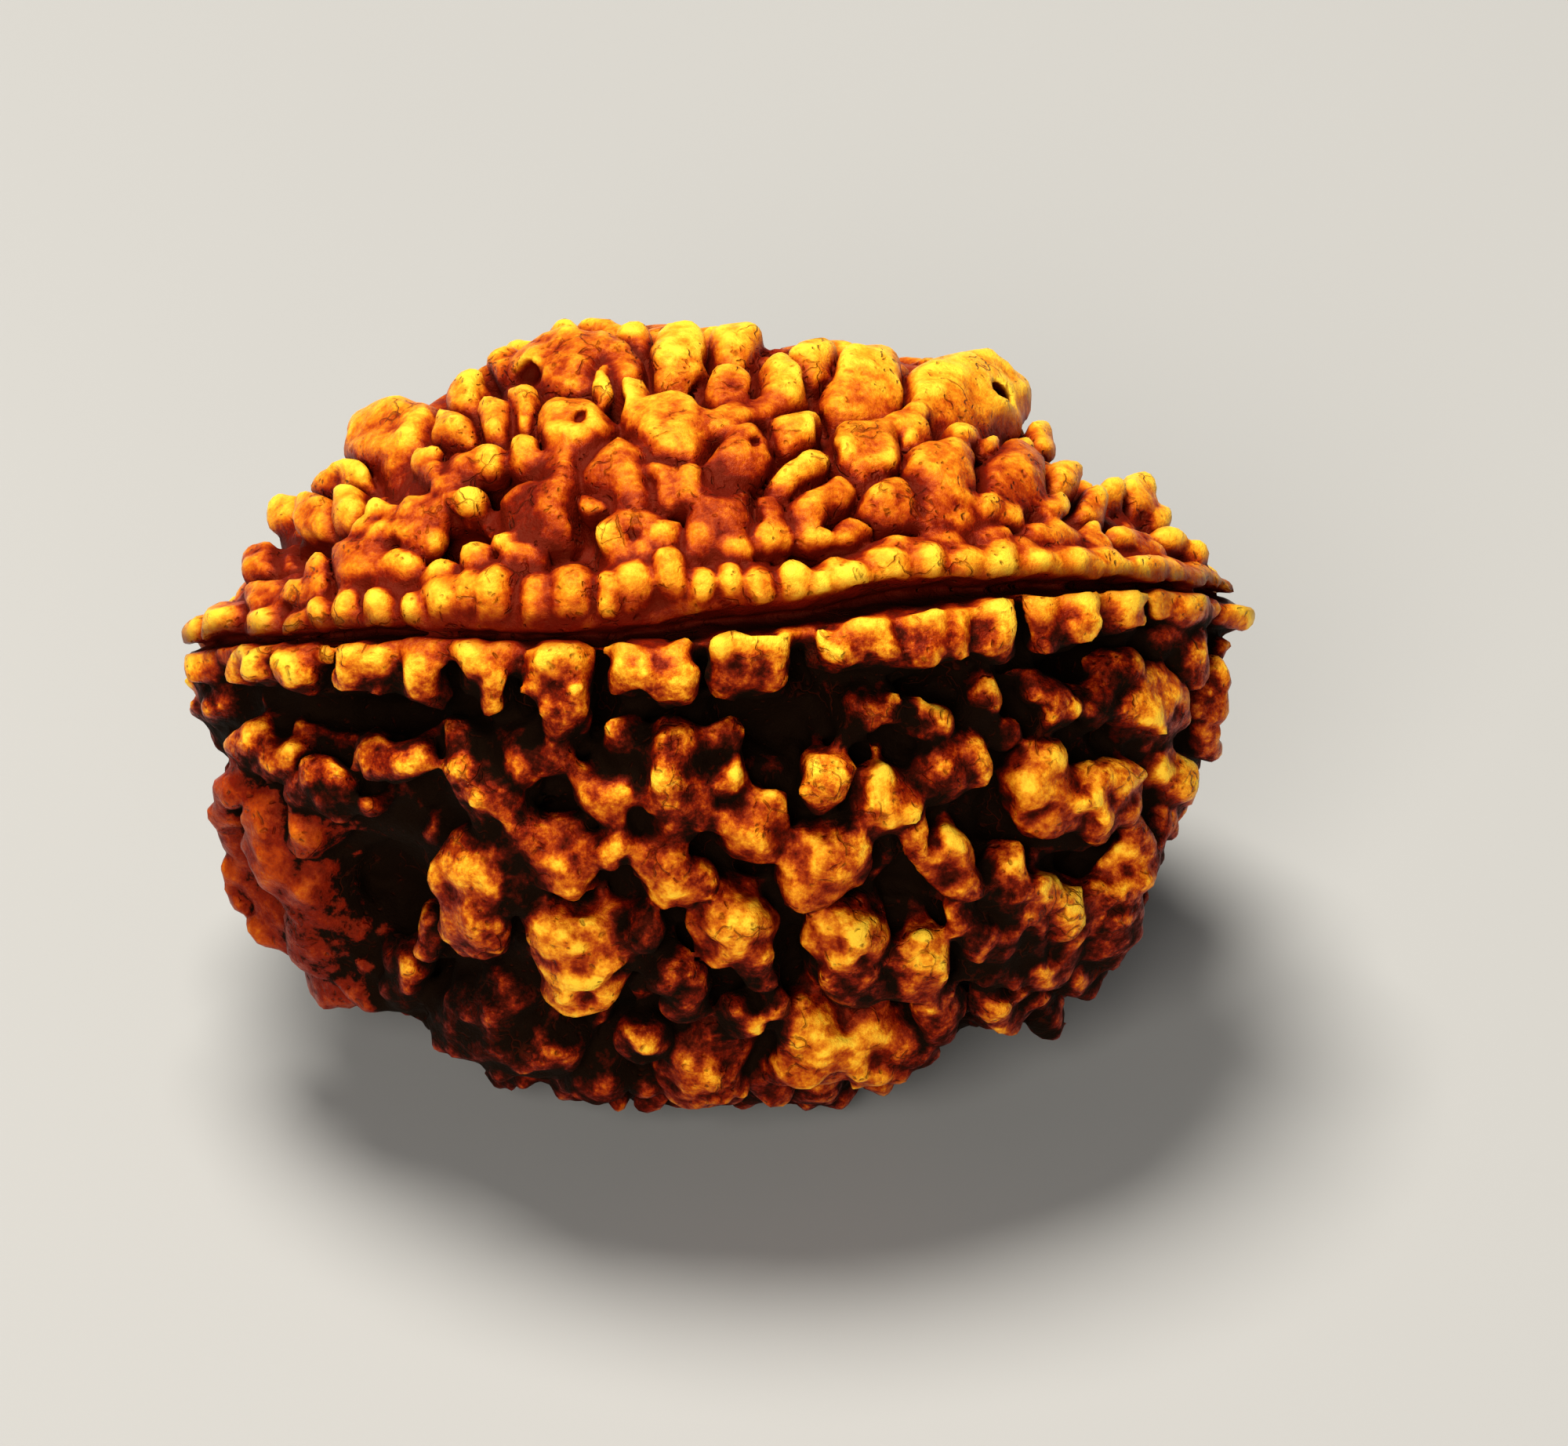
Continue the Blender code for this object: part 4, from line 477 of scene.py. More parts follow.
def hidden_knobs(seen):
    """Knobs of the same kinds over the rest of the two valves, and the lips of the far mukh line."""
    rng = np.random.RandomState(HIDDEN_SEED)
    out = []
    # blocks on the lips of the far mukh line
    for name, valve, half, gap in (("lip_a", 1, 0.42, 0.04), ("lip_b", -1, 0.44, 0.16)):
        x = -10.9
        while x < 10.9:
            w = rng.uniform(0.9, 1.7) if abs(x) < 9 else rng.uniform(0.6, 0.9)
            xc = x + w / 2
            p, axes = rim_frame(xc, 1)
            z, lw = line_at(xc, 1)
            h = half * rng.uniform(0.9, 1.25)
            rows = axes * np.array([[w / 2 * 1.1 / max(abs(axes[0][0]), 0.5)], [h], [0.8]])
            out.append(knob(p - axes[2] * 0.4 + axes[1] * (z + valve * (lw + h * 0.9)), rows, name, 2.9))
            x += w + gap * rng.uniform(0.6, 1.6)
    pts = on_skin(spiral(3600))
    nor = skin_normal(pts)
    facing = -(nor @ AHEAD)
    order = rng.permutation(len(pts))
    inside = [room_inside(*project(p)) if -0.6 < f < 0.35 else 99.0 for p, f in zip(pts, facing)]
    kept_c = [k["c"] for k in seen] + [k["c"] for k in out]
    kept_r = [k["size"] for k in seen] + [0.55] * len(out)
    # full knobs where the drawing shows none, then small ones in what is left
    for turn in range(3):
        for i in order:
            p, n = pts[i], nor[i]
            upper = p[2] > 0
            if abs(p[0]) > 11.15:
                continue
            near_rim = abs(p[2]) < (1.3 if upper else 1.9)
            if facing[i] > 0.35 or (facing[i] > -0.05 and inside[i] > 9):
                continue
            if near_rim and turn == 0:
                continue
            if turn == 0:
                r = rng.uniform(0.62, 0.98) if upper else rng.uniform(0.6, 0.95)
                room = 0.84 if upper else 1.0
            elif turn == 1:
                r, room = rng.uniform(0.36, 0.5), 0.88
            else:
                r, room = rng.uniform(0.22, 0.34), 0.92
            r *= 0.75 + 0.25 * min(1.0, (11.5 - abs(p[0])) / 3.0)
            stretch = rng.uniform(1.0, 1.45)
            spin = rng.uniform(0, math.pi)
            tall = max(r, 0.5)
            down = tall * (0.8 if turn == 0 else 0.95) + AWAY_DROP * float(turned_away(n))
            # a top that would show outside the drawn outline is lowered until it doesn't
            if facing[i] > -0.6:
                over = max(-room_inside(*project(p + n * (tall - down + 0.05) + RIGHT * r * side))
                           for side in (-0.75, 0.0, 0.75)) * UNIT - 0.03
                if over > 0.5:
                    continue
                down += max(over, 0.0)
            d = np.linalg.norm(np.array(kept_c) - (p - n * r * 0.8), axis=1)
            if (d < room * (np.array(kept_r) + r)).any():
                continue
            t1 = np.cross(n, [0.3, 0.2, 0.93])
            t1 /= np.linalg.norm(t1)
            t2 = np.cross(n, t1)
            c, s = math.cos(spin), math.sin(spin)
            rr = np.array([r * stretch, r / stretch ** 0.5, tall])
            rows = np.stack([t1 * c + t2 * s, t2 * c - t1 * s, n]) * rr[:, None]
            out.append(knob(p - n * down, rows, "a" if upper else "b", 2.3, small=turn > 0))
            kept_c.append(out[-1]["c"])
            kept_r.append(r)
    return out


def pits():
    out = []
    for u, v, du, dv, turn, deep in (PITS + GAPS):
        p, t = hit(u, v, 0.0)
        k = t / VIEW_DISTANCE
        ax, up = turned(turn)
        rows = [ax * du * UNIT / 2 * k, up * dv * UNIT / 2 * k, AHEAD * deep]
        out.append(knob(p - AHEAD * 0.35 + AHEAD * (deep - 0.35) * 0.3, rows, "pit", 2.4,
                        through=(u, v, du, dv, turn, deep) in GAPS))
    return out


# ---------------------------------------------------------------- the skin as a field
STEP = 0.092          # millimetres between samples
LOW = np.array([-12.3, -10.6, -11.4])
HIGH = np.array([12.3, 10.6, 7.8])
GRIT_SEED = 7
RELIEF_A, RELIEF_B = 0.32, 1.15               # how far the body lies under the knob tops
WARP = {"a": 0.7, "lip_a": 0.6, "lip_b": 0.5, "b": 1.15, "plate": 1.0}      # how far noise bends each kind
GROW = {"a": 0.08, "lip_a": 0.04, "lip_b": 0.04, "b": 0.07, "plate": 0.08}


def clock(text):
    print("[bead] %6.1f s  %s" % (time.time() - START, text), flush=True)


def grid_axes():
    return [np.arange(lo, hi, STEP, dtype=np.float32) for lo, hi in zip(LOW, HIGH)]


def catmull(n, m, phase=0.0):
    """Matrix that spreads m random values along n samples with a smooth cubic."""
    t = np.linspace(1.0 + phase, m - 2.001 - phase, n)
    i = np.floor(t).astype(int)
    f = t - i
    w = np.stack([-0.5 * f + f ** 2 - 0.5 * f ** 3, 1 - 2.5 * f ** 2 + 1.5 * f ** 3,
                  0.5 * f + 2 * f ** 2 - 1.5 * f ** 3, -0.5 * f ** 2 + 0.5 * f ** 3], axis=1)
    out = np.zeros((n, m), dtype=np.float32)
    for k in range(4):
        out[np.arange(n), i + k - 1] += w[:, k]
    return out


def noise(shape, size, rng):
    """Smooth noise over the whole grid, about -1 to 1, with features of the given size in millimetres."""
    cells = [max(6, int((hi - lo) / size) + 4) for lo, hi in zip(LOW, HIGH)]
    v = rng.uniform(-1.0, 1.0, cells).astype(np.float32)
    for axis in range(3):
        m = catmull(shape[axis], cells[axis])
        v = np.moveaxis(np.tensordot(m, v, axes=(1, axis)), 0, axis)
    return v


def blur(v, radius):
    """Three box passes, close to a Gaussian with this radius in millimetres."""
    n = max(1, int(round(radius / STEP)))
    for _ in range(3):
        for axis in range(3):
            pad = [(0, 0)] * 3
            pad[axis] = (n + 1, n)
            c = np.cumsum(np.pad(v, pad, mode="edge"), axis=axis, dtype=np.float32)
            hi = [slice(None)] * 3
            lo = [slice(None)] * 3
            hi[axis] = slice(2 * n + 1, None)
            lo[axis] = slice(0, -(2 * n + 1))
            v = (c[tuple(hi)] - c[tuple(lo)]) / np.float32(2 * n + 1)
    return v


def superball(p, ball):
    """Signed distance, near enough, to a rounded block."""
    q = (p - ball["c"].astype(np.float32)) @ ball["inv"].astype(np.float32)
    n = ball["power"]
    m = np.abs(q)
    low = m ** np.float32(n - 1)
    s = np.maximum((low * m).sum(-1), 1e-6)
    k = s ** np.float32(1.0 / n)
    g = np.sqrt((((low * np.sign(q)) @ ball["inv"].T.astype(np.float32)) ** 2).sum(-1)) * k / s
    return (k - 1.0) / np.maximum(g, 1e-3)


def window(ball, axes, margin):
    """The part of the grid that a ball can touch."""
    half = np.sqrt((ball["rows"] ** 2).sum(0)) * 1.25 + margin
    out = []
    for a in range(3):
        lo = int(np.searchsorted(axes[a], ball["c"][a] - half[a]))
        hi = int(np.searchsorted(axes[a], ball["c"][a] + half[a]))
        out.append(slice(max(lo, 0), hi))
    return tuple(out)


def smooth_min(a, b, k):
    h = np.clip(0.5 + 0.5 * (b - a) / k, 0.0, 1.0)
    return b + (a - b) * h - k * h * (1.0 - h)


def build_field():
    axes = grid_axes()
    shape = tuple(len(a) for a in axes)
    rng = np.random.RandomState(GRIT_SEED)
    clock("grid %d x %d x %d" % shape)
    gx, gy, gz = axes[0][:, None, None], axes[1][None, :, None], axes[2][None, None, :]

    # the knobs are looked up at gently shifted places, so that none is a perfect ball
    warp = [noise(shape, 1.5, rng) * 0.09 + noise(shape, 0.62, rng) * 0.10 + noise(shape, 0.36, rng) * 0.05
            for _ in range(3)]
    clock("warp")

    # almond body, set in by the relief
    w = np.maximum(rim_width(axes[0]), 0.05).astype(np.float32)[:, None, None]
    ha = np.maximum(np.interp(axes[0], XS, HA), 0.05).astype(np.float32)[:, None, None]
    hb = np.maximum(np.interp(axes[0], XS, HB), 0.05).astype(np.float32)[:, None, None]
    up = gz > 0
    g = np.where(up, (np.abs(gz) / ha) ** (1.0 / RISE_A), (np.abs(gz) / hb) ** 2) + (gy / w) ** 2 - 1.0
    g = np.where(np.abs(gx) > HALF_LENGTH, 1.0 + np.abs(gx) - HALF_LENGTH, g).astype(np.float32)
    grads = np.gradient(g, STEP)
    slope = np.sqrt(grads[0] ** 2 + grads[1] ** 2 + grads[2] ** 2)
    away = sum(grads[k] * np.float32(AHEAD[k]) for k in range(3)) / np.maximum(slope, 0.12)
    away = np.clip(away * 4.0 + 0.2, 0, 1).astype(np.float32)      # 1 on the side turned away from the viewpoint
    del grads
    out = g / np.maximum(slope, 0.12)                 # millimetres outside the knob tops' skin
    del slope, g
    depth = -out
    clock("body")

    # distance to the nearest and the second nearest knob of the upper valve, which press together, and smooth
    # unions for the upper lip and for the lower valve, whose knobs grow into each other
    far_off = np.float32(9.0)
    near, second = np.full(shape, far_off), np.full(shape, far_off)
    lip, lower = np.full(shape, far_off), np.full(shape, far_off)
    best = np.full(shape, far_off)
    which = np.zeros(shape, np.int16)
    for i, knob in enumerate(KNOBS):
        kind = knob["kind"]
        win = window(knob, axes, 0.9 if kind == "a" else 0.6)
        k = WARP[kind]
        p = np.stack([gx[win[0]] + k * warp[0][win], gy[:, win[1]] + k * warp[1][win],
                      gz[:, :, win[2]] + k * warp[2][win]], -1)
        d = superball(p, knob).astype(np.float32) - GROW[kind]
        if knob.get("ridge"):
            lip[win] = smooth_min(lip[win], d, 0.2)
        elif kind == "a" and knob["size"] < 0.4:
            lip[win] = smooth_min(lip[win], d, 0.12)
        elif kind == "a":
            n, s = near[win], second[win]
            second[win] = np.where(d < n, n, np.minimum(s, d))
            near[win] = np.minimum(n, d)
        elif kind in ("lip_a", "lip_b"):
            lip[win] = smooth_min(lip[win], d, 0.09)
        else:
            lower[win] = smooth_min(lower[win], d, 0.22 if kind == "plate" else 0.16)
        k, w0 = best[win], which[win]
        which[win] = np.where(d < k, i, w0)
        best[win] = np.minimum(k, d)
    clock("knobs")

    # knobs that press together leave a thin crease between them
    crease = np.exp(-((second - near) / 0.17) ** 2) * np.clip((1.1 - near) / 0.4, 0, 1)
    knobs = near + 0.24 * crease
    del second
    webs = np.clip(1.0 - np.abs(noise(shape, 1.0, rng)) * 3.2, 0, 1)
    core = out + np.where(up, RELIEF_A + 0.30 * crease + 0.25 * away, RELIEF_B - 0.50 * webs)
    core += np.float32(AWAY_DROP) * away
    core += (0.16 * noise(shape, 1.25, rng) + 0.12 * noise(shape, 0.45, rng)) * np.where(up, 0.5, 1.2)
    core = np.maximum(core, out + 0.22)
    del webs, crease, away
    near = np.minimum(np.minimum(near, lower), lip)

    # pits run into the body between the knobs
    gaps = np.full(shape, far_off)
    for pit in CUTS:
        win = window(pit, axes, 0.4)
        p = np.stack([gx[win[0]] + warp[0][win], gy[:, win[1]] + warp[1][win], gz[:, :, win[2]] + warp[2][win]], -1)
        d = superball(p, pit).astype(np.float32)
        if pit["through"]:
            gaps[win] = np.minimum(gaps[win], d)
        else:
            core[win] = -smooth_min(-core[win], d, 0.25)
    f = smooth_min(lower, core, 0.28)
    f = smooth_min(f, knobs, 0.16)
    f = smooth_min(f, lip, 0.16)
    f = -smooth_min(-f, gaps, 0.14)
    del core, knobs, lower, lip, best, gaps
    clock("pits")

    # under the lips the skin is worn rounder, without thin edges
    below = np.clip((-gz - 0.5) / 0.8, 0, 1) * np.float32(0.75)
    f += (blur(f, STEP) - f) * below
    clock("worn")

    # the two mukh lines
    for side in (-1, 1):
        z, half = line_at(axes[0].astype(float), side)
        z, half = np.asarray(z, np.float32)[:, None, None], np.asarray(half, np.float32)[:, None, None]
        taper = np.clip(1.05 - np.maximum(depth, -0.6) * 0.62, 0.25, 1.1)
        wob = warp[2] * 0.35
        cutline = np.maximum(np.abs(gz + wob - z) - half * taper, depth - LINE_DEPTH)
        cutline = np.where(gy * side > 0.4, cutline, 1.0)
        f = -smooth_min(-f, cutline, 0.07)
    clock("lines")

    # grain of the skin
    for size, above, below in ((0.8, 0.05, 0.10), (0.45, 0.05, 0.11), (0.26, 0.035, 0.055)):
        f += noise(shape, size, rng) * np.where(up, np.float32(above), np.float32(below))

    # the hole along the bead and its worn mouths
    a, b = np.array(HOLE_LEFT), np.array(HOLE_RIGHT)
    along = (b - a) / np.linalg.norm(b - a)
    t = (gx - a[0]) / along[0]
    r = np.sqrt((gy + warp[1] * 0.4 - a[1] - t * along[1]) ** 2 + (gz + warp[2] * 0.4 - a[2] - t * along[2]) ** 2)
    flare = np.clip((np.abs(gx) - 9.6) / 1.4, 0, 1) ** 2 * 0.16
    hole = r - HOLE_DIAMETER / 2 - flare - 0.05 * warp[0]
    f = -smooth_min(-f, hole.astype(np.float32), 0.1)
    del hole, r

    # the flat that it rests on
    s, c = math.sin(math.radians(RIM_TILT)), math.cos(math.radians(RIM_TILT))
    height = -s * gy + c * gz + REST_AT[2]
    f = np.maximum(f, -height.astype(np.float32))
    f[0], f[-1], f[:, 0], f[:, -1], f[:, :, 0], f[:, :, -1] = (9.0,) * 6
    clock("field")
    return axes, f, which, near, depth, warp


def surface(f):
    """Naive surface nets: one point in each cell that the skin crosses, one quad on each edge that it crosses."""
    inside = f < 0
    nx, ny, nz = f.shape
    total = None
    cell_of, pos, quads = [], [], []
    strides = (ny * nz, nz, 1)
    for axis in range(3):
        lo, hi = [slice(None)] * 3, [slice(None)] * 3
        lo[axis], hi[axis] = slice(0, -1), slice(1, None)
        lo, hi = tuple(lo), tuple(hi)
        cross = inside[lo] != inside[hi]
        idx = np.nonzero(cross)
        va, vb = f[lo][idx], f[hi][idx]
        t = va / (va - vb)
        p = np.stack(idx, 1).astype(np.float32)
        p[:, axis] += t
        flat = idx[0] * strides[0] + idx[1] * strides[1] + idx[2]
        u, v = strides[(axis + 1) % 3], strides[(axis + 2) % 3]
        corners = [flat - u - v, flat - v, flat, flat - u]
        for c in corners:
            cell_of.append(c)
            pos.append(p)
        q = np.stack(corners, 1)
        flip = va > 0                                 # outside to inside along the axis
        q[flip] = q[flip][:, ::-1]
        quads.append(q)
    cells = np.concatenate(cell_of)
    pts = np.concatenate(pos)
    ids, back = np.unique(cells, return_inverse=True)
    count = np.bincount(back).astype(np.float64)
    verts = np.stack([np.bincount(back, weights=pts[:, k]) / count for k in range(3)], 1)
    faces = np.searchsorted(ids, np.concatenate(quads))
    return verts, faces


# Knobs given painted light, paler (above 0), or painted shade, redder and darker (below 0), than the rest: across,
# down, how much
PAINTED_KNOB_LIGHT = [
    (836, 1096, 1.0), (858, 1132, 1.3), (934, 1190, 1.2), (737, 1205, 1.6), (730, 1252, 1.3), (718, 1100, 0.8),
    (604, 1120, 0.5), (606, 1185, 0.5), (1134, 1026, 1.0), (1054, 1000, 0.5), (1040, 1110, 1.0), (1080, 1200, 1.2),
    (1186, 1235, 1.0), (1034, 1338, 1.5), (1112, 1342, 1.3), (1345, 1012, 1.0), (1340, 1140, 0.8), (1362, 1184, 0.8),
    (1214, 1098, 0.7), (1498, 1002, 0.8), (958, 1056, 0.8), (1476, 905, 0.5), (900, 1362, 0.5), (350, 971, 0.4),
    (1434, 1012, 0.5), (1402, 1028, 0.4), (794, 1026, 0.5), (1318, 1152, 0.7), (968, 1226, -0.6), (1441, 1112, 0.5),
    (608, 1300, -0.6), (650, 1372, -1.8), (830, 1392, -1.2), (660, 1332, -0.9), (706, 1340, -1.4), (762, 1368, -1.3),
    (600, 992, -0.4), (625, 1030, -0.4), (862, 960, -1.0), (1270, 1222, -0.4), (820, 1186, -2.0), (872, 1272, -1.0),
    (818, 1330, -2.4), (850, 1240, -1.5), (640, 945, -1.0), (514, 975, -1.3), (462, 1030, -1.4),
    (545, 1210, -1.6), (510, 1252, -1.3), (488, 980, -1.0), (1330, 1292, -2.2), (1372, 1252, -0.8), (940, 1300, -1.9),
    (990, 1300, -1.7), (786, 1082, -0.6), (415, 990, -1.0), (425, 1018, -1.1), (1182, 1068, -0.4), (1232, 1180, -1.0),
    (1440, 860, -1.3), (1409, 905, -1.2), (1362, 913, -0.8), (1340, 880, -1.2), (1500, 820, -0.6), (1262, 901, -0.7),
    (1098, 914, -1.6), (1150, 900, -1.8), (1189, 928, -1.0), (1290, 935, -0.6), (700, 960, -1.0), (650, 985, -1.1),
    (590, 950, -0.9), (748, 922, -0.7), (800, 950, -1.0), (930, 945, -1.4), (1000, 930, -1.6), (470, 945, -1.0),
    (462, 965, -0.9), (575, 1290, -1.2), (1198, 1290, -0.3), (1098, 1250, -0.6), (660, 1140, -1.0),
    (694, 650, -0.9), (922, 652, -0.9), (790, 602, -0.5), (467, 724, -0.6), (806, 648, -0.5), (541, 653, -0.4),
    (374, 664, -0.4), (336, 724, -0.7), (1226, 660, -0.4), (1198, 598, -0.3), (940, 590, -0.3), (1045, 642, -0.3),
    (590, 598, -0.5), (575, 630, -0.5), (556, 608, -0.5), (536, 682, -0.5), (1040, 466, 0.4), (1110, 490, 0.8),
    (1106, 576, 0.6), (1236, 502, 0.8), (1168, 554, 0.7), (866, 458, 0.4), (931, 445, 0.3), (734, 546, 0.3),
    (722, 444, 0.3), (503, 556, 0.4), (440, 622, 0.4), (852, 550, 0.2),
]


def one_piece(verts, faces):
    """Keeps the largest connected skin, and drops crumbs and closed bubbles."""
    label = np.arange(len(verts))
    a, b = faces[:, [0, 1, 2, 3]].ravel(), faces[:, [1, 2, 3, 0]].ravel()
    for _ in range(400):
        low = np.minimum(label[a], label[b])
        new = label.copy()
        np.minimum.at(new, a, low)
        np.minimum.at(new, b, low)
        new = new[new]
        new = new[new]
        if (new == label).all():
            break
        label = new
    names, count = np.unique(label, return_counts=True)
    keep = label == names[count.argmax()]
    index = np.cumsum(keep) - 1
    return verts[keep], index[faces[keep[faces].all(1)]]


def sampler(axes):
    origin = np.array([a[0] for a in axes])

    def sample(v, p):
        q = (p - origin) / STEP
        top = np.array(v.shape) - 2
        i = np.clip(np.floor(q).astype(int), 0, top)
        t = np.clip(q - i, 0, 1).astype(np.float32)
        out = 0
        for dx in (0, 1):
            for dy in (0, 1):
                for dz in (0, 1):
                    w = ((t[:, 0] if dx else 1 - t[:, 0]) * (t[:, 1] if dy else 1 - t[:, 1])
                         * (t[:, 2] if dz else 1 - t[:, 2]))
                    out = out + w * v[i[:, 0] + dx, i[:, 1] + dy, i[:, 2] + dz]
        return out
    return sample


def to_world(p):
    return (np.asarray(p) @ WORLD_TO_BEAD + np.array(REST_AT)) * 0.001


def to_bead(w):
    return (np.asarray(w) * 1000.0 - np.array(REST_AT)) @ WORLD_TO_BEAD.T


def make_mesh(name, verts, faces):
    mesh = bpy.data.meshes.new(name)
    n, k = faces.shape
    mesh.vertices.add(len(verts))
    mesh.vertices.foreach_set("co", verts.astype(np.float32).ravel())
    mesh.loops.add(n * k)
    mesh.loops.foreach_set("vertex_index", faces.astype(np.int32).ravel())
    mesh.polygons.add(n)
    mesh.polygons.foreach_set("loop_start", np.arange(0, n * k, k, dtype=np.int32))
    mesh.update(calc_edges=True)
    mesh.validate()
    return mesh


def finish_mesh(ob, limit):
    """Triangles, thinned to the limit, in place."""
    thin = ob.modifiers.new("thin", "DECIMATE")
    tris = 2 * len(ob.data.polygons)
    thin.ratio = min(1.0, limit / tris)
    thin.use_collapse_triangulate = True
    graph = bpy.context.evaluated_depsgraph_get()
    mesh = bpy.data.meshes.new_from_object(ob.evaluated_get(graph), depsgraph=graph)
    old = ob.data
    ob.modifiers.clear()
    ob.data = mesh
    mesh.name = old.name
    bpy.data.meshes.remove(old)
    mesh.validate()


def put(mesh, name, values):
    layer = mesh.attributes.new(name, "FLOAT", "POINT")
    layer.data.foreach_set("value", np.asarray(values, np.float32))


def grow_bead():
    axes, f, which, near, depth, warp = build_field()
    verts, faces = surface(f)
    clock("surface %d faces" % len(faces))
    verts, faces = one_piece(verts, faces)
    p = verts * STEP + np.array([a[0] for a in axes])
    sample = sampler(axes)
    clock("one piece, %d points" % len(p))
    # two Newton steps pull the points onto the skin
    e = STEP * 0.5
    for _ in range(2):
        v = sample(f, p)
        g = np.stack([sample(f, p + d) - sample(f, p - d) for d in np.eye(3) * e], 1) / (2 * e)
        n2 = np.maximum((g ** 2).sum(1), 0.25)
        p = p - np.clip(v / n2, -STEP * 0.5, STEP * 0.5)[:, None] * g
    clock("pulled on")
    mesh = make_mesh("bead_skin", to_world(p), faces)
    ob = bpy.data.objects.new("bead_skin", mesh)
    bpy.context.scene.collection.objects.link(ob)
    finish_mesh(ob, 196000)
    mesh = ob.data
    clock("thinned to %d" % len(mesh.polygons))

    co = np.zeros(len(mesh.vertices) * 3, np.float32)
    mesh.vertices.foreach_get("co", co)
    w = co.reshape(-1, 3).astype(float)
    w[:, 2] = np.where(w[:, 2] < 0.00004, 0.0, w[:, 2])
    mesh.vertices.foreach_set("co", w.astype(np.float32).ravel())
    q = to_bead(w)
    # hollows and sunk places, which the finish colours darker: partly the seed's own dark crevices, partly painted
    # shade
    full = np.clip(0.5 - f / STEP, 0, 1).astype(np.float32)
    for name, radius in (("hollow_s", 0.10), ("hollow_m", 0.30), ("hollow_l", 0.9)):
        put(mesh, name, sample(blur(full, radius), q) * 2 - 1)
    put(mesh, "sunk", sample(depth, q))
    put(mesh, "gap", sample(near, q))
    rng = np.random.RandomState(5)
    shade = rng.uniform(0, 1, len(KNOBS)).astype(np.float32)
    idx = np.clip(np.round((q - np.array([a[0] for a in axes])) / STEP).astype(int), 0, np.array(f.shape) - 1)
    put(mesh, "knob", shade[which[idx[:, 0], idx[:, 1], idx[:, 2]]])
    centre = np.array([k["c"] for k in KNOBS])
    size = np.array([k["size"] for k in KNOBS])
    mine = which[idx[:, 0], idx[:, 1], idx[:, 2]]
    # painted light: each place's height over its knob's centre along world up, which makes the knobs paler on their
    # upper sides
    put(mesh, "top", np.clip(((q - centre[mine]) @ WORLD_TO_BEAD[:, 2]) / size[mine], -1.2, 1.2))
    plate = np.array([k["kind"] == "plate" for k in KNOBS])
    put(mesh, "plate", plate[mine])
    # how far each place belongs to a knob with painted light or painted shade
    table = KNOBS_A + LIP_A + LONG_B + LIP_B + SHADED_B + KNOBS_B + PLATE_B
    rubbed = np.zeros(len(q))
    for u, v, much in PAINTED_KNOB_LIGHT:
        for k, row in zip(SEEN, table):
            if row[:2] == (u, v) and k["kind"] in ("a", "b"):
                far = np.linalg.norm((q - k["c"]) @ k["inv"], axis=1)
                rubbed += much * np.clip((1.6 - far) / 0.4, 0, 1)
    put(mesh, "rubbed", np.clip(rubbed, -2.6, 1.8))
    lips = np.array([k["kind"] in ("lip_a", "lip_b") for k in KNOBS])
    put(mesh, "lips", lips[mine])
    # where the near mukh line's walls get painted shade, the dark red of a shaded lip underside
    zs = np.where(q[:, 1] < 0, np.interp(q[:, 0], [s[0] for s in LINE], [s[1] for s in LINE]), FAR_LINE)
    put(mesh, "line", np.clip(1.5 - np.abs(q[:, 2] - zs - 0.12) / 0.3, 0, 1) * np.clip(1.25 - sample(depth, q) / 0.8, 0, 1))
    put(mesh, "valve", q[:, 2] - zs)
    mesh.polygons.foreach_set("use_smooth", np.ones(len(mesh.polygons), bool))
    mesh.update()
    clock("attributes")
    return ob


# ---------------------------------------------------------------- finish
def node(tree, kind, **inputs):
    n = tree.nodes.new(kind)
    for k, v in inputs.items():
        if k.startswith("_"):
            setattr(n, k[1:], v)
    return n


def attr(tree, name):
    n = tree.nodes.new("ShaderNodeAttribute")
    n.attribute_name = name
    return n.outputs["Fac"]


def math_node(tree, op, a, b=None, clamp=False):
    n = tree.nodes.new("ShaderNodeMath")
    n.operation = op
    n.use_clamp = clamp
    for i, v in enumerate((a, b)):
        if v is None:
            continue
        if isinstance(v, (int, float)):
            n.inputs[i].default_value = v
        else:
            tree.links.new(v, n.inputs[i])
    return n.outputs[0]


def ramp(tree, value, lo, hi, out_lo=0.0, out_hi=1.0):
    n = tree.nodes.new("ShaderNodeMapRange")
    n.interpolation_type = "SMOOTHSTEP"
    n.inputs["From Min"].default_value = lo
    n.inputs["From Max"].default_value = hi
    n.inputs["To Min"].default_value = out_lo
    n.inputs["To Max"].default_value = out_hi
    tree.links.new(value, n.inputs["Value"])
    return n.outputs["Result"]


def mix(tree, fac, a, b, kind="MIX"):
    n = tree.nodes.new("ShaderNodeMix")
    n.data_type = "RGBA"
    n.blend_type = kind
    for socket, v in ((n.inputs["Factor"], fac), (n.inputs[6], a), (n.inputs[7], b)):
        if isinstance(v, (int, float)):
            socket.default_value = v
        elif isinstance(v, tuple):
            socket.default_value = (*v, 1.0)
        else:
            tree.links.new(v, socket)
    return n.outputs[2]


def srgb(r, g, b):
    return tuple((c / 255 / 12.92) if c / 255 <= 0.04045 else ((c / 255 + 0.055) / 1.055) ** 2.4 for c in (r, g, b))


